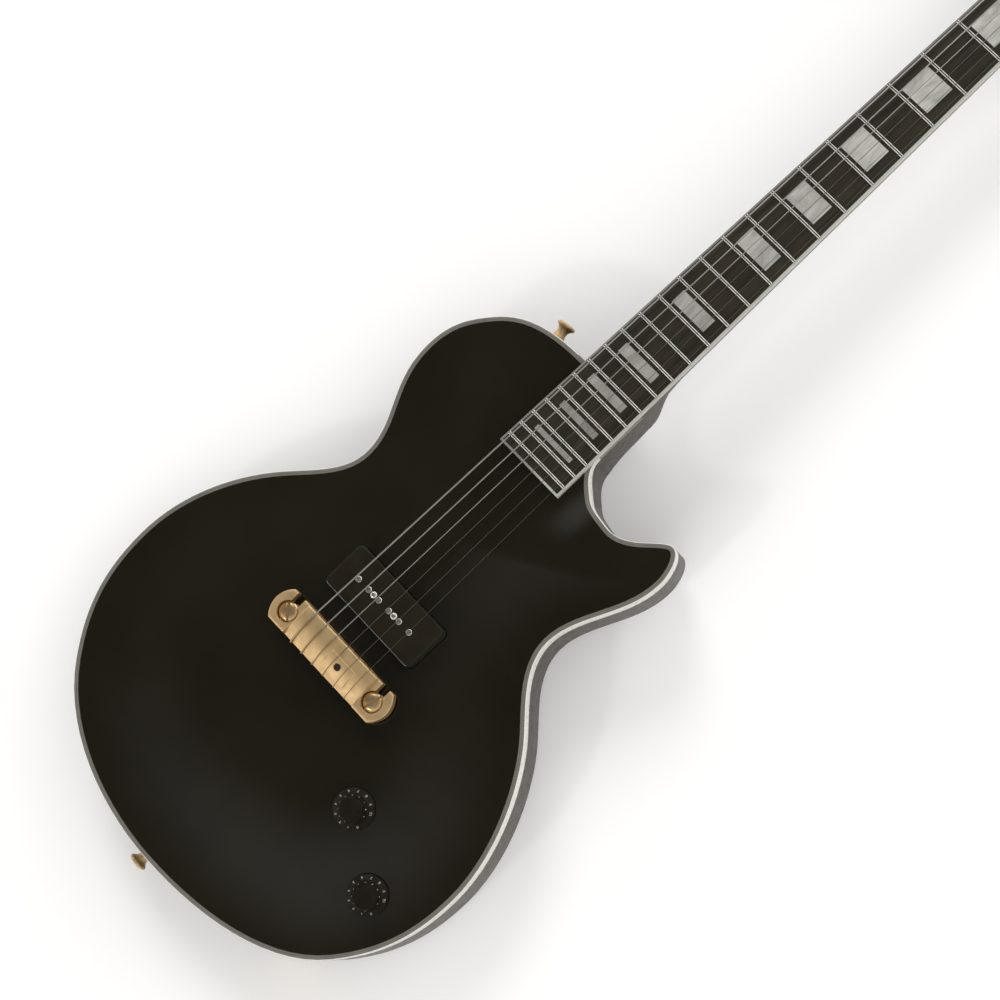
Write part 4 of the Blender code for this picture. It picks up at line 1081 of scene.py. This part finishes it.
def neck_wood():
    """Neck, heel, tenon and headstock in one piece."""
    wood = solid("neck_wood", loft(neck_rings()))
    rings = []
    for x in (TENON_START, BODY_END + 3):
        high = bed_height(x) - GAP
        rings.append([(x, -TENON_HALF, TENON_LOW), (x, TENON_HALF, TENON_LOW),
                      (x, TENON_HALF, high), (x, -TENON_HALF, high)])
    cut(wood, loft(rings), BODY, "UNION")
    levels = ((1.2, 0), (0.4, 0.4), (0, 1.2), (0, HEAD_THICK - SKIN))
    cut(wood, loft([level(head_outline(pull), z - HEAD_THICK) for pull, z in levels]), HEAD, "UNION")
    dress(wood, "side_lacquer", stands_for="neck", angle=28)


def head_face():
    """Black face of the headstock and the cover of the truss rod's end."""
    levels = ((0, 0), (0, OVERLAY - 0.6), (0.6, OVERLAY))
    face = loft([level(head_outline(pull), z) for pull, z in levels])
    piece("head_face", face, "lacquer", HEAD, stands_for="headstock_overlay")
    half = curve_points(ROD_COVER_KNOTS, 8)
    bell = half + [(x, -y) for x, y in reversed(half)]
    top = OVERLAY + ROD_COVER_THICK
    piece("rod_cover", prism(bell, OVERLAY + SKIN, top), "satin", HEAD, bevel=0.6,
          stands_for="truss_rod_cover")
    for i, x in enumerate((8.5, 39.0)):
        screw_head("rod_cover_screw_%d" % i, HEAD @ move(x, 0, top), 1.5, 0.6, "steel")


def arch(x, half, low_side, steps=24, lift=0.0):
    """Section of the fretboard at x: arched above, flat below."""
    ys = [half * (1 - 2 * i / steps) for i in range(steps + 1)]
    return [(x, -half, low_side), (x, half, low_side)] + [(x, y, lift - sag(y)) for y in ys]


def board_wood():
    """Dark wood between the binding strips."""
    rings = []
    for distance in (GAP, BOARD_LENGTH - BOARD_BINDING):
        rings.append(arch(-distance, half_width(distance) - BOARD_BINDING, -BOARD_THICK))
    piece("board_wood", loft(rings), "ebony", NECK, stands_for="fretboard")


def pearl_blocks():
    """Pearl blocks between the frets, wider toward the body."""
    blocks = []
    narrow, wide = INLAY_WIDTHS
    for number in INLAY_FRETS:
        near = fret_at(number - 1) + INLAY_MARGIN
        far = fret_at(number) - INLAY_MARGIN
        half = (narrow + (wide - narrow) * 0.5 * (near + far) / INLAY_SPAN) / 2
        blocks.append(loft([arch(-x, half, -INLAY_DEEP, 16, INLAY_PROUD) for x in (far, near)]))
    piece("pearl_blocks", join_all(blocks), "pearl", NECK, stands_for="inlays")


def board_binding():
    """Pale strips along both sides and the body end of the fretboard."""
    strips = []
    for side in SIDES.values():
        rings = []
        for distance in (GAP, BOARD_LENGTH):
            w = half_width(distance)
            inner = w - BOARD_BINDING
            section = ((w, -BOARD_THICK), (w, -sag(w) - BINDING_ROUND), (w - BINDING_ROUND, -sag(w)),
                       (inner, -sag(inner)), (inner, -BOARD_THICK))
            rings.append([(-distance, side * y, z) for y, z in section])
        strips.append(loft(rings))
    half = half_width(BOARD_LENGTH) - BOARD_BINDING
    strips.append(loft([arch(step - BOARD_LENGTH, half, -BOARD_THICK) for step in (BOARD_BINDING, 0.0)]))
    piece("board_binding", join_all(strips), "old_ivory", NECK, stands_for="fretboard_binding")


def side_dots():
    """Black dots on the bass edge of the fretboard."""
    dots = []
    for number in INLAY_FRETS[1:]:
        middle = 0.5 * (fret_at(number - 1) + fret_at(number))
        for shift in (-DOT_SHIFT, DOT_SHIFT) if number == DOUBLE_DOT else (0,):
            distance = middle + shift
            place = axis_frame((-distance, half_width(distance), -BOARD_THICK / 2 - DOT_LOW), (0, 1, 0))
            dots.append(placed(lathe([(1.0, -0.4), (1.0, 0.03), (0.6, 0.06)], 20), place))
    piece("side_dots", join_all(dots), "satin", NECK)


def fret_wires():
    """Rounded fret crowns between the binding strips."""
    w = CROWN_WIDE / 2
    turns = [pi * i / CROWN_STEPS for i in range(CROWN_STEPS + 1)]
    section = [(w, -FRET_ROOT), (-w, -FRET_ROOT)] + [(-w * cos(a), CROWN_HIGH * sin(a) ** 0.8) for a in turns]
    wires = []
    for number in range(1, FRETS + 1):
        x = -fret_at(number)
        half = half_width(-x) - BOARD_BINDING + 0.2
        ys = [half * (i - 10) / 10 for i in range(21)]
        wires.append(loft([[(x + dx, y, z - sag(y)) for dx, z in section] for y in ys]))
    piece("fret_wires", join_all(wires), "nickel", NECK, stands_for="frets", angle=60)


# Pickup
def pickup_cover():
    """Soap-bar cover, with a painted highlight along its edge on the bridge side."""
    half_x, half_y = PICKUP_WIDE / 2, PICKUP_LONG / 2
    rings = [level(rounded(half_x, half_y, PICKUP_CORNER, 8, PICKUP_X), POCKET_FLOOR + 6)]
    for late, drawn in quarter(6):
        pull = PICKUP_ROUND * late
        outline = rounded(half_x - pull, half_y - pull, PICKUP_CORNER - pull, 8, PICKUP_X)
        rings.append(level(outline, PICKUP_TOP - PICKUP_ROUND * drawn))
    points, faces = loft(rings)
    kinds = []
    for i, face in enumerate(faces):
        on_bridge_side = max(points[k][0] for k in face) < PICKUP_X - half_x + PICKUP_ROUND
        # Faces of that row on the bridge side get pale paint, a painted highlight
        kinds.append(1 if on_bridge_side and i // len(rings[0]) == GLINT_ROW else 0)
    piece("soap_bar_cover", (points, faces, kinds), ("satin", "worn_black"), stands_for="pickup_cover",
          angle=50)


def pickup_screws():
    """Six slotted poles and two fixing screws."""
    profile = [(POLE_R, -3), (POLE_R, 0.45), (0.85 * POLE_R, 0.75), (0.4 * POLE_R, 0.85)]
    slot = block(-4, 4, -0.35, 0.35, 0.25, 3)
    for i in range(6):
        place = move(PICKUP_X, POLE_PITCH * (i - 2.5), PICKUP_TOP)
        turn = turned(-35 + 27 * i, "Z")
        piece("pole_screw_%d" % (i + 1), lathe(profile, 24), "steel", place, [(slot, turn)],
              stands_for="" if i else "pickup_poles")
    for name, sign in SIDES.items():
        place = move(PICKUP_X, sign * PICKUP_SCREW_Y, PICKUP_TOP)
        head = screw_head("soap_bar_screw_" + name, place, 2.6, 1.5, "steel")
        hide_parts("pickup_screw_" + name)


# Bridge
def across(number, spread):
    """Place of a string across a spread, string 1 on the treble side."""
    return spread * ((number - 1) / 5 - 0.5)


def bar_ends(y):
    """Front and back of the bar at y, drawn in along its round ends."""
    half = 0.5 * (BAR_FRONT - BAR_BACK)
    radius = (half ** 2 + END_BULGE ** 2) / (2 * END_BULGE)
    out = max(abs(y) - (BAR_HALF - END_BULGE), 0)
    reach = sqrt(radius ** 2 - (radius - END_BULGE + out) ** 2)
    middle = 0.5 * (BAR_FRONT + BAR_BACK)
    return middle + reach, middle - reach


def bar_height(depth, y, length):
    """Height of the bar's upper face at a depth behind its front edge."""
    raised = 1 - float(smooth((abs(y) - EAR_START) / 0.8))
    u = depth / length
    edge = exp(-depth / 0.4)
    step = BLOCK_HIGH * float(smooth((depth - BLOCK_BEHIND) / BLOCK_EDGE))
    for inward in (y - BLOCK_FROM, BLOCK_TO - y):
        step *= float(smooth(inward / BLOCK_EDGE + 0.5))
    hump = BAR_TOP - sag(y) - edge - HUMP_DROP * (max(u - HUMP_FROM, 0) / (1 - HUMP_FROM)) ** 2
    hump += step * (1 - float(smooth((u - 0.8) / 0.15)))
    ear = EAR_TOP - 0.9 * edge - 1.2 * exp(-(1 - u) * length / 0.5)
    return ear + (hump - ear) * raised


def bar_section(y):
    """Outline of the bridge bar across its length at y."""
    front, back = bar_ends(y)
    length = front - back
    share = length / (BAR_FRONT - BAR_BACK)
    steps = [0, 0.008, 0.02, 0.04, 0.08, 0.14, 0.2, 0.26, 0.31, 0.325, 0.34, 0.355, 0.37]
    steps += [0.42, 0.48, 0.54, 0.6, 0.66, 0.72, 0.78, 0.84, 0.89, 0.93, 0.96, 0.98, 0.992, 1]
    soft = 0.8 * (1 - share)
    upper = [(front - length * u, bar_height(length * u, y, length) - soft) for u in steps]
    rises = ((0.0, 2.5), (0.5, 1.2), (1.4, 0.3), (2.5, 0.0))
    low = [(back + x * share, BAR_LOW + z) for x, z in rises]
    low += [(front - x * share, BAR_LOW + z) for x, z in ((1.5, 0.0), (0.4, 0.3), (0.0, 1.0))]
    return [(x, y, z) for x, z in upper + low]


def wrap_bar():
    """Wraparound bar with a raised block, room for its studs, string holes and a small pit."""
    ends = [BAR_HALF - out for out in (0.05, 0.2, 0.5, 1.0, 1.8, 2.8, 4.0, 5.2, END_BULGE, 7.5)]
    middle = numpy.arange(-BAR_HALF + 9, BAR_HALF - 8.9, 0.4)
    ys = [-y for y in ends] + [float(y) for y in middle] + ends[::-1]
    bar = solid("wrap_bar", loft([bar_section(y) for y in ys]))
    recess = lathe(lifted([(RECESS_R - 0.8, 0), (RECESS_R, 1.2), (RECESS_R, 30)], STUD_SEAT), 64)
    for sign in SIDES.values():
        y = sign * STUD_Y
        cut(bar, recess, move(STUD_X, y, 0))
        slot = capsule((STUD_X, y), (BAR_FRONT + 10, y), STUD_NECK_R + GAP)
        cut(bar, prism(slot, BAR_LOW - 5, CLEAR))
    room = BALL_R + 0.4
    hole = lathe([(1.0, 40), (1.0, -BAR_FRONT + 4), (room, -BAR_FRONT + 4), (room, -4)], 20)
    for number in range(1, 7):
        cut(bar, hole, move(0, across(number, SPREAD_BRIDGE), STRING_HOLE_Z) @ turned(-90, "Y"))
    pit = move(*PIT_AT, BAR_TOP)
    cut(bar, lathe([(PIT_R - 0.5, -2.6), (PIT_R, -1.2), (PIT_R, 5)], 32), pit)
    close(bar)
    dress(bar, "gold", stands_for="bridge_bar", angle=40, bevel=0.3)
    # Near-black lining in the pit: painted shade
    piece("bar_pit", lathe([(PIT_R - 0.4, -2.8), (PIT_R - 0.3, -2.3), (0.6, -2.5)], 32), "dark_hole", pit)


def stud(name, place):
    """Slotted stud in its threaded bushing."""
    low = BUSHING_TOP + 0.6
    under = BAR_LOW - 0.1
    profile = [(STUD_NECK_R, CAP_LOW + 6), (STUD_NECK_R, low), (5.7, low), (6, low + 0.3), (6, under - 0.3),
               (5.8, under), (STUD_NECK_R, under), (STUD_NECK_R, STUD_SEAT + SKIN)]
    dome = ((0.2, SKIN), (0, 0.3), (0, 1.2), (0.25, 1.7), (0.9, 2.2), (2.2, 2.65), (4.2, 2.9))
    profile += [(STUD_HEAD_R - pull, STUD_SEAT + z) for pull, z in dome]
    slot = block(-9, 9, -0.8, 0.8, STUD_SEAT + 1.5, CLEAR)
    piece("stud_" + name, lathe(profile, 64), "bright_gold", place, [(slot, turned(STUD_TURNS[name], "Z"))],
          stands_for="bridge_stud_" + name, angle=40)
    bore, lip = STUD_NECK_R + 0.3, BUSHING_R + 0.9
    tube = [(bore, CAP_LOW + 3), (BUSHING_R, CAP_LOW + 3)]
    tube += lifted([(BUSHING_R, -1), (lip, -0.8), (lip, -0.2), (lip - 0.5, 0.1), (bore, 0.1)], BUSHING_TOP)
    piece("stud_ferrule_" + name, lathe(tube, 48, closed=True), "gold", place,
          stands_for="bridge_bushing_" + name)


def bridge():
    """Bar, its studs and its two adjusting screws."""
    wrap_bar()
    for name, sign in SIDES.items():
        stud(name, move(STUD_X, sign * STUD_Y, 0))
        place = move(BAR_BACK + 0.1, sign * STUD_Y, BAR_LOW + 3.7) @ turned(-90, "Y")
        piece("set_screw_" + name, lathe([(1.5, -5), (1.5, 0.25), (1.2, 0.5)], 24), "gold", place,
              [(rod(0.8, -1.5, 3, 6), BODY)])


# Strings
def tuners():
    """String number, place along the headstock and side of each tuner."""
    bass = [(6 - i, x, 1) for i, x in enumerate(POST_X)]
    treble = [(1 + i, x, -1) for i, x in enumerate(POST_X)]
    return bass + treble


def winding(number, start, size):
    """Turns of a string round its post, reached along the tangent on the inner side."""
    _, x, side = [t for t in tuners() if t[0] == number][0]
    centre = Vector((x, side * POST_Y))
    reach = POST_R + size / 2 + 0.15
    away = centre - start.to_2d()
    angle = atan2(away.y, away.x) - side * asin(reach / away.length)
    length = sqrt(away.length_squared - reach * reach)
    touch = start.to_2d() + length * Vector((cos(angle), sin(angle)))
    first = atan2(touch.y - centre.y, touch.x - centre.x)
    path = []
    for i in range(WIND_STEPS * WIND_TURNS + 1):
        a = first + side * 2 * pi * i / WIND_STEPS
        z = WIND_TOP - (size + 0.3) * i / WIND_STEPS
        path.append(Vector((centre.x + reach * cos(a), centre.y + reach * sin(a), z)))
    return path


def string_path(number, size):
    """Points of one string from its ball end round the bar, over the nut and round its post."""
    y = across(number, SPREAD_BRIDGE)
    radius = size / 2
    length = BAR_FRONT - BAR_BACK
    spots = [(BAR_FRONT - 2.6, STRING_HOLE_Z), (BAR_BACK - radius + 0.3, STRING_HOLE_Z),
             (BAR_BACK - radius - 0.25, STRING_HOLE_Z + 0.35)]
    for depth in (26.5, 26.2, 25.4, 24, 22, 19.5, 17, 14.5, 12, 10, 8.5):
        out = (0.25 if depth > 25 else 0) + radius * (0.7 if depth > 24 else 0.2)
        spots.append((BAR_FRONT - depth - out, bar_height(depth, y, length) + radius + SKIN))
    for depth in (4.5, 1.6):
        spots.append((BAR_FRONT - depth, bar_height(depth, y, length) + radius))
    points = [Vector((x, y, z)) for x, z in spots]
    nut_y = across(number, SPREAD_NUT)
    for x in (-0.5, NUT_LONG + 2 * GAP):
        points.append(NECK @ Vector((x, nut_y, STRING_OVER_BOARD - sag(nut_y) + radius)))
    start = HEAD.inverted() @ points[-1]
    return points + [HEAD @ p for p in winding(number, start, size)]


def strand(name, path, radius):
    """Round wire along a path."""
    line = bpy.data.curves.new(name, "CURVE")
    line.dimensions = "3D"
    line.bevel_depth = radius * MM
    line.bevel_resolution = 3
    line.use_fill_caps = True
    spline = line.splines.new("POLY")
    spline.points.add(len(path) - 1)
    for knot, place in zip(spline.points, path):
        knot.co = (*(POSE @ (place * MM)), 1)
    return add(name, line)


def strings():
    """Six round strings with the brass twist at their ball ends."""
    profile = [(1.2, 0), (1.9, 0.3), (BALL_R, 0.8), (1.6, 1.4), (BALL_R, 2.0), (1.9, 2.5), (1.2, 2.8)]
    for number, size in enumerate(STRING_SIZES, 1):
        tag = "_%d" % number
        path = string_path(number, size)
        wire = strand("string_wire" + tag, path, size / 2)
        dress(wire, "wound" if number > PLAIN_STRINGS else "plain_wire", stands_for="string" + tag)
        dress(strand("string_twist" + tag, path[:WRAP_POINTS], size / 2 + TWIST_THICK), "brass")
        ball = move(BAR_FRONT - 3.3, across(number, SPREAD_BRIDGE), STRING_HOLE_Z) @ turned(90, "Y")
        piece("ball_end" + tag, lathe(profile, 20), "gold", ball)


# Controls
def figures(name, place, body):
    """Plain numbers round a knob's skirt."""
    slope = atan2(SKIRT_RISE, KNOB_R - SKIRT_TOP_R)
    up_axis = Vector((0, 0, 1))
    for i in range(FIGURES):
        a = radians(240 - FIGURE_STEP * i)
        out = Vector((cos(a), sin(a), 0))
        letter = bpy.data.curves.new("%s_number_%d" % (name, i), "FONT")
        letter.body = str(i)
        letter.size = FIGURE_SIZE * MM
        letter.extrude = 0.04 * MM
        letter.align_x = "CENTER"
        letter.align_y = "CENTER"
        shape = add(letter.name, letter)
        spot = out * 0.5 * (KNOB_R + SKIRT_TOP_R) + FIGURE_Z * up_axis
        up = (-out * cos(slope) + up_axis * sin(slope)).normalized()
        face = (out * sin(slope) + up_axis * cos(slope)).normalized()
        shape.matrix_world = POSE @ in_metres(place) @ in_metres(axes(up.cross(face), up, face, spot))
        dress(shape, "numeral", body)


def knob_dots(name, place, body):
    """Small pale dots round the foot of a knob's hat, painted glints where its ribs would catch the light."""
    dots = []
    for i in range(FIGURES):
        a = radians(225 - FIGURE_STEP * i)
        seat = axis_frame((KNOB_DOT_AT * cos(a), KNOB_DOT_AT * sin(a), KNOB_DOT_Z), (cos(a), sin(a), 0.24))
        dots.append(placed(lathe([(0.5, -0.4), (0.5, 0.16), (0.25, 0.24)], 12), seat))
    piece(name + "_dots", join_all(dots), "numeral", place, body=body)


def knobs():
    """Top-hat knobs on their shafts, with numbers, and the pots' nuts."""
    bore = SHAFT_R + 0.1
    hat = [(bore, KNOB_HIGH - 3 + GAP), (bore, 4.6), (8.2, 4.6), (8.2, 1.2)]
    skirt = ((0.6, 1.2), (0.15, 1.4), (0, 1.8), (0, 2.5), (0.15, 2.85), (0.5, 3.1))
    hat += [(KNOB_R - pull, z) for pull, z in skirt]
    hat += [(10.9, 5.55), (10.4, 6.0), (10.05, 6.8), (9.6, 8.5)]
    hat += lifted([(8.3, -1.2), (8.1, -0.6), (7.75, -0.15), (7.3, 0), (6.7, -0.1), (4.0, -0.4), (0.6, -0.45)],
                  KNOB_HIGH)
    for name, place in (("volume", VOLUME), ("tone", TONE)):
        body = name + "_control"
        piece(name + "_hat", lathe(hat, 72), "knob_black", place, body=body, stands_for=name + "_knob",
              angle=50)
        figures(name, place, body)
        # Pale dots round the hat are painted glints
        knob_dots(name, place, body)
        hex_nut(name + "_nut", place, POT_NUT_R, POT_NECK_R + SKIN, 0.25, 2.0, 0.3)


# Tuners
def tuner_case(tag, side, place):
    """Rounded housing with room for the worm shaft."""
    high = -HEAD_THICK - SKIN
    start, end = HOUSING_ENDS
    rings = []
    for late, drawn in quarter(5):
        pull = HOUSING_ROUND * drawn
        outline = rounded((end - start) / 2 - pull, HOUSING_HALF_Y - pull, HOUSING_CORNER - pull * 0.8, 6,
                          (start + end) / 2)
        rings.append(level(outline, high - HOUSING_HIGH + HOUSING_ROUND * late))
    rings.append(level(outline, high))
    shaft = move(WORM_X, 0, GEAR_Z) @ turned(-90 * side, "X")
    piece("tuner_case" + tag, loft(rings), "gold", place, [(rod(WORM_R + 0.15, 2, 20), shaft)],
          stands_for="tuner_housing" + tag, angle=40)


def tuner_fixings(tag, place):
    """Screw in its tab at the back, and the bushing with its washer in front."""
    screw = place @ move(TAB_X, 0, -HEAD_THICK) @ turned(180, "X")
    tab = prism(capsule((-4.2, 0), (0, 0), 3.2), -SKIN, 1.0)
    piece("tuner_tab" + tag, tab, "gold", screw, bevel=0.3)
    screw_head("tuner_screw" + tag, screw @ move(0, 0, 1.0), 2.0)
    bore = POST_R + 0.25
    ring = [(bore, -1), (5.6, -1), (5.6, 0.5), (5.2, 0.9), (4.6, 1.0), (4.4, 2.2), (4.1, 2.5), (bore, 2.5)]
    piece("tuner_bushing" + tag, lathe(lifted(ring, OVERLAY), 40, closed=True), "gold", place)


def tuner_post(tag, place):
    """Waisted post with its string hole and its gear."""
    slim = POST_R - 0.25
    stem = lifted([(POST_R, -3), (POST_R, -1.5), (GEAR_R, -1.5), (GEAR_R, 1.5), (POST_R, 1.5)], GEAR_Z)
    stem += [(POST_R, 11.6), (slim, 12.0), (slim, 12.6), (POST_R, 13.0)]
    stem += lifted([(POST_R, -0.9), (slim, -0.35), (POST_R - 0.9, 0)], POST_TOP)
    hole = move(0, 0, POST_HOLE_Z) @ turned(90, "Y")
    piece("tuner_stem" + tag, lathe(stem, 32), "gold", place, [(rod(0.8, -9, 9, 16), hole)],
          body="tuner_post" + tag, stands_for="tuner_post" + tag, angle=40)


def tuner_button(tag, side, axle):
    """Waisted oval button on its worm shaft."""
    start = BUTTON_START - POST_Y
    shaft = [(-5, WORM_R, WORM_R), (5, WORM_R, WORM_R), (5.4, 2, 2)]
    oval = [(-3.2, 2, 2), (-2.8, 3.2, 3.2), (-1.9, 3.4, 3.4), (-1.3, 2.8, 2.8), (0, 3.6, 3.0),
            (1.2, 5.6, 3.7), (2.6, 7.4, 4.3), (4.5, 8.7, 4.6), (7, 9.4, 4.8), (9.5, 9.3, 4.7),
            (11.8, 8.7, 4.3), (13.4, 7.6, 3.6), (14.5, 6.2, 2.7), (BUTTON_LONG, 4.4, 1.7)]
    rings = []
    for y, rx, rz in shaft + [(start + out, rx, rz) for out, rx, rz in oval]:
        rings.append([(rx * c, side * y, rz * s) for c, s in circle(1, 32)])
    piece("tuner_key" + tag, loft(rings), "gold", axle, body="tuner_button" + tag,
          stands_for="tuner_button" + tag, angle=50)


def tuner_set():
    """Six tuners, each with its housing, fixings, post and button."""
    for number, x, side in tuners():
        tag = "_%d" % number
        place = HEAD @ move(x, side * POST_Y, 0)
        tuner_case(tag, side, place)
        tuner_fixings(tag, place)
        tuner_post(tag, place)
        tuner_button(tag, side, place @ move(WORM_X, 0, GEAR_Z))


def carried_over():
    """Finishes of the solids that stay as they are."""
    kept = {"nut": "old_ivory", "pickup_bobbin": "satin", "pickup_coil": "copper"}
    for name in ("pickup_baseplate", "truss_rod", "volume_pot", "tone_pot", "volume_shaft", "tone_shaft"):
        kept[name] = "steel"
    for name, look in kept.items():
        NODES[name].data.materials.clear()
        NODES[name].data.materials.append(finish_of(look))


# Floor, light and camera
def floor():
    """Plain white floor that keeps the guitar's shadow."""
    mesh = bpy.data.meshes.new("floor")
    corners = [(sx * FLOOR_HALF, sy * FLOOR_HALF, 0) for sx, sy in CORNERS]
    mesh.from_pydata(corners, [], [(0, 1, 2, 3)])
    ground = add("floor", mesh)
    made, tree, shader = base("floor_white", Roughness=1.0, Specular_IOR_Level=0.0,
                              Emission_Color=(1, 1, 1, 1))
    tint(tree, shader, noise(tree, 3, 2), (0.89, 0.89, 0.89), (0.91, 0.91, 0.91))
    path = node(tree, "LightPath")
    seen = path.outputs["Is Camera Ray"]
    for kind in ("Is Glossy Ray", "Is Transmission Ray"):
        most = node(tree, "Math", operation="MAXIMUM")
        link(seen, most, 0)
        link(path.outputs[kind], most, 1)
        seen = most.outputs[0]
    lift = node(tree, "Math", operation="MULTIPLY")
    lift.inputs[1].default_value = FLOOR_LIFT
    link(seen, lift, 0)
    link(lift.outputs[0], shader, "Emission Strength")
    mesh.materials.append(made)


def sun(name, heading, height, strength, spread):
    """Broad soft lamp from a heading and a height in degrees."""
    lamp = bpy.data.lights.new(name, "SUN")
    lamp.energy = strength
    lamp.angle = radians(spread)
    h, e = radians(heading), radians(height)
    away = Vector((cos(h) * cos(e), sin(h) * cos(e), sin(e)))
    add(name, lamp).rotation_euler = away.to_track_quat("Z", "Y").to_euler()


def light():
    """Bright horizon under a dim sky, a soft lamp from the bass side and a small one from the tail."""
    sun("key", *KEY_LAMP)
    sun("tail", *TAIL_LAMP)
    sky = bpy.data.worlds.new("sky")
    sky.use_nodes = True
    tree = sky.node_tree
    ground = tree.nodes["Background"]
    ground.inputs["Color"].default_value = (1, 0.985, 0.96, 1)
    place = node(tree, "TexCoord")
    total = node(tree, "Math", operation="MULTIPLY")
    cap = (CAP_AXIS, CAP_SPAN, (HORIZON, ZENITH))
    side = (BRIGHT_SIDE, (-1.0, 1.0), SIDE_SHARES)
    for i, (axis, span, levels) in enumerate((cap, side)):
        facing = node(tree, "VectorMath", operation="DOT_PRODUCT")
        facing.inputs[1].default_value = axis
        fade = node(tree, "MapRange", interpolation_type="SMOOTHSTEP", From_Min=span[0], From_Max=span[1],
                    To_Min=levels[0], To_Max=levels[1])
        link(place.outputs["Generated"], facing, 0)
        link(facing.outputs["Value"], fade, "Value")
        link(fade.outputs["Result"], total, i)
    link(total.outputs[0], ground, "Strength")
    bpy.context.scene.world = sky


def camera():
    """Camera where the photograph was taken."""
    lens = bpy.data.cameras.new("camera")
    lens.lens = LENS
    lens.sensor_width = 36
    thing = add("camera", lens)
    up = CAMERA_RIGHT.cross(CAMERA_AHEAD)
    thing.matrix_world = POSE @ in_metres(axes(CAMERA_RIGHT, up, -CAMERA_AHEAD, CAMERA_AT))
    bpy.context.scene.camera = thing


for make in (body_shell, carved_top, edge_binding, back_cover, output_socket, strap_buttons, neck_wood,
             head_face, board_wood, pearl_blocks, board_binding, side_dots, fret_wires, pickup_cover,
             pickup_screws, bridge, strings, knobs, tuner_set, carried_over, floor, light, camera):
    make()
bpy.context.scene.view_settings.view_transform = "Standard"
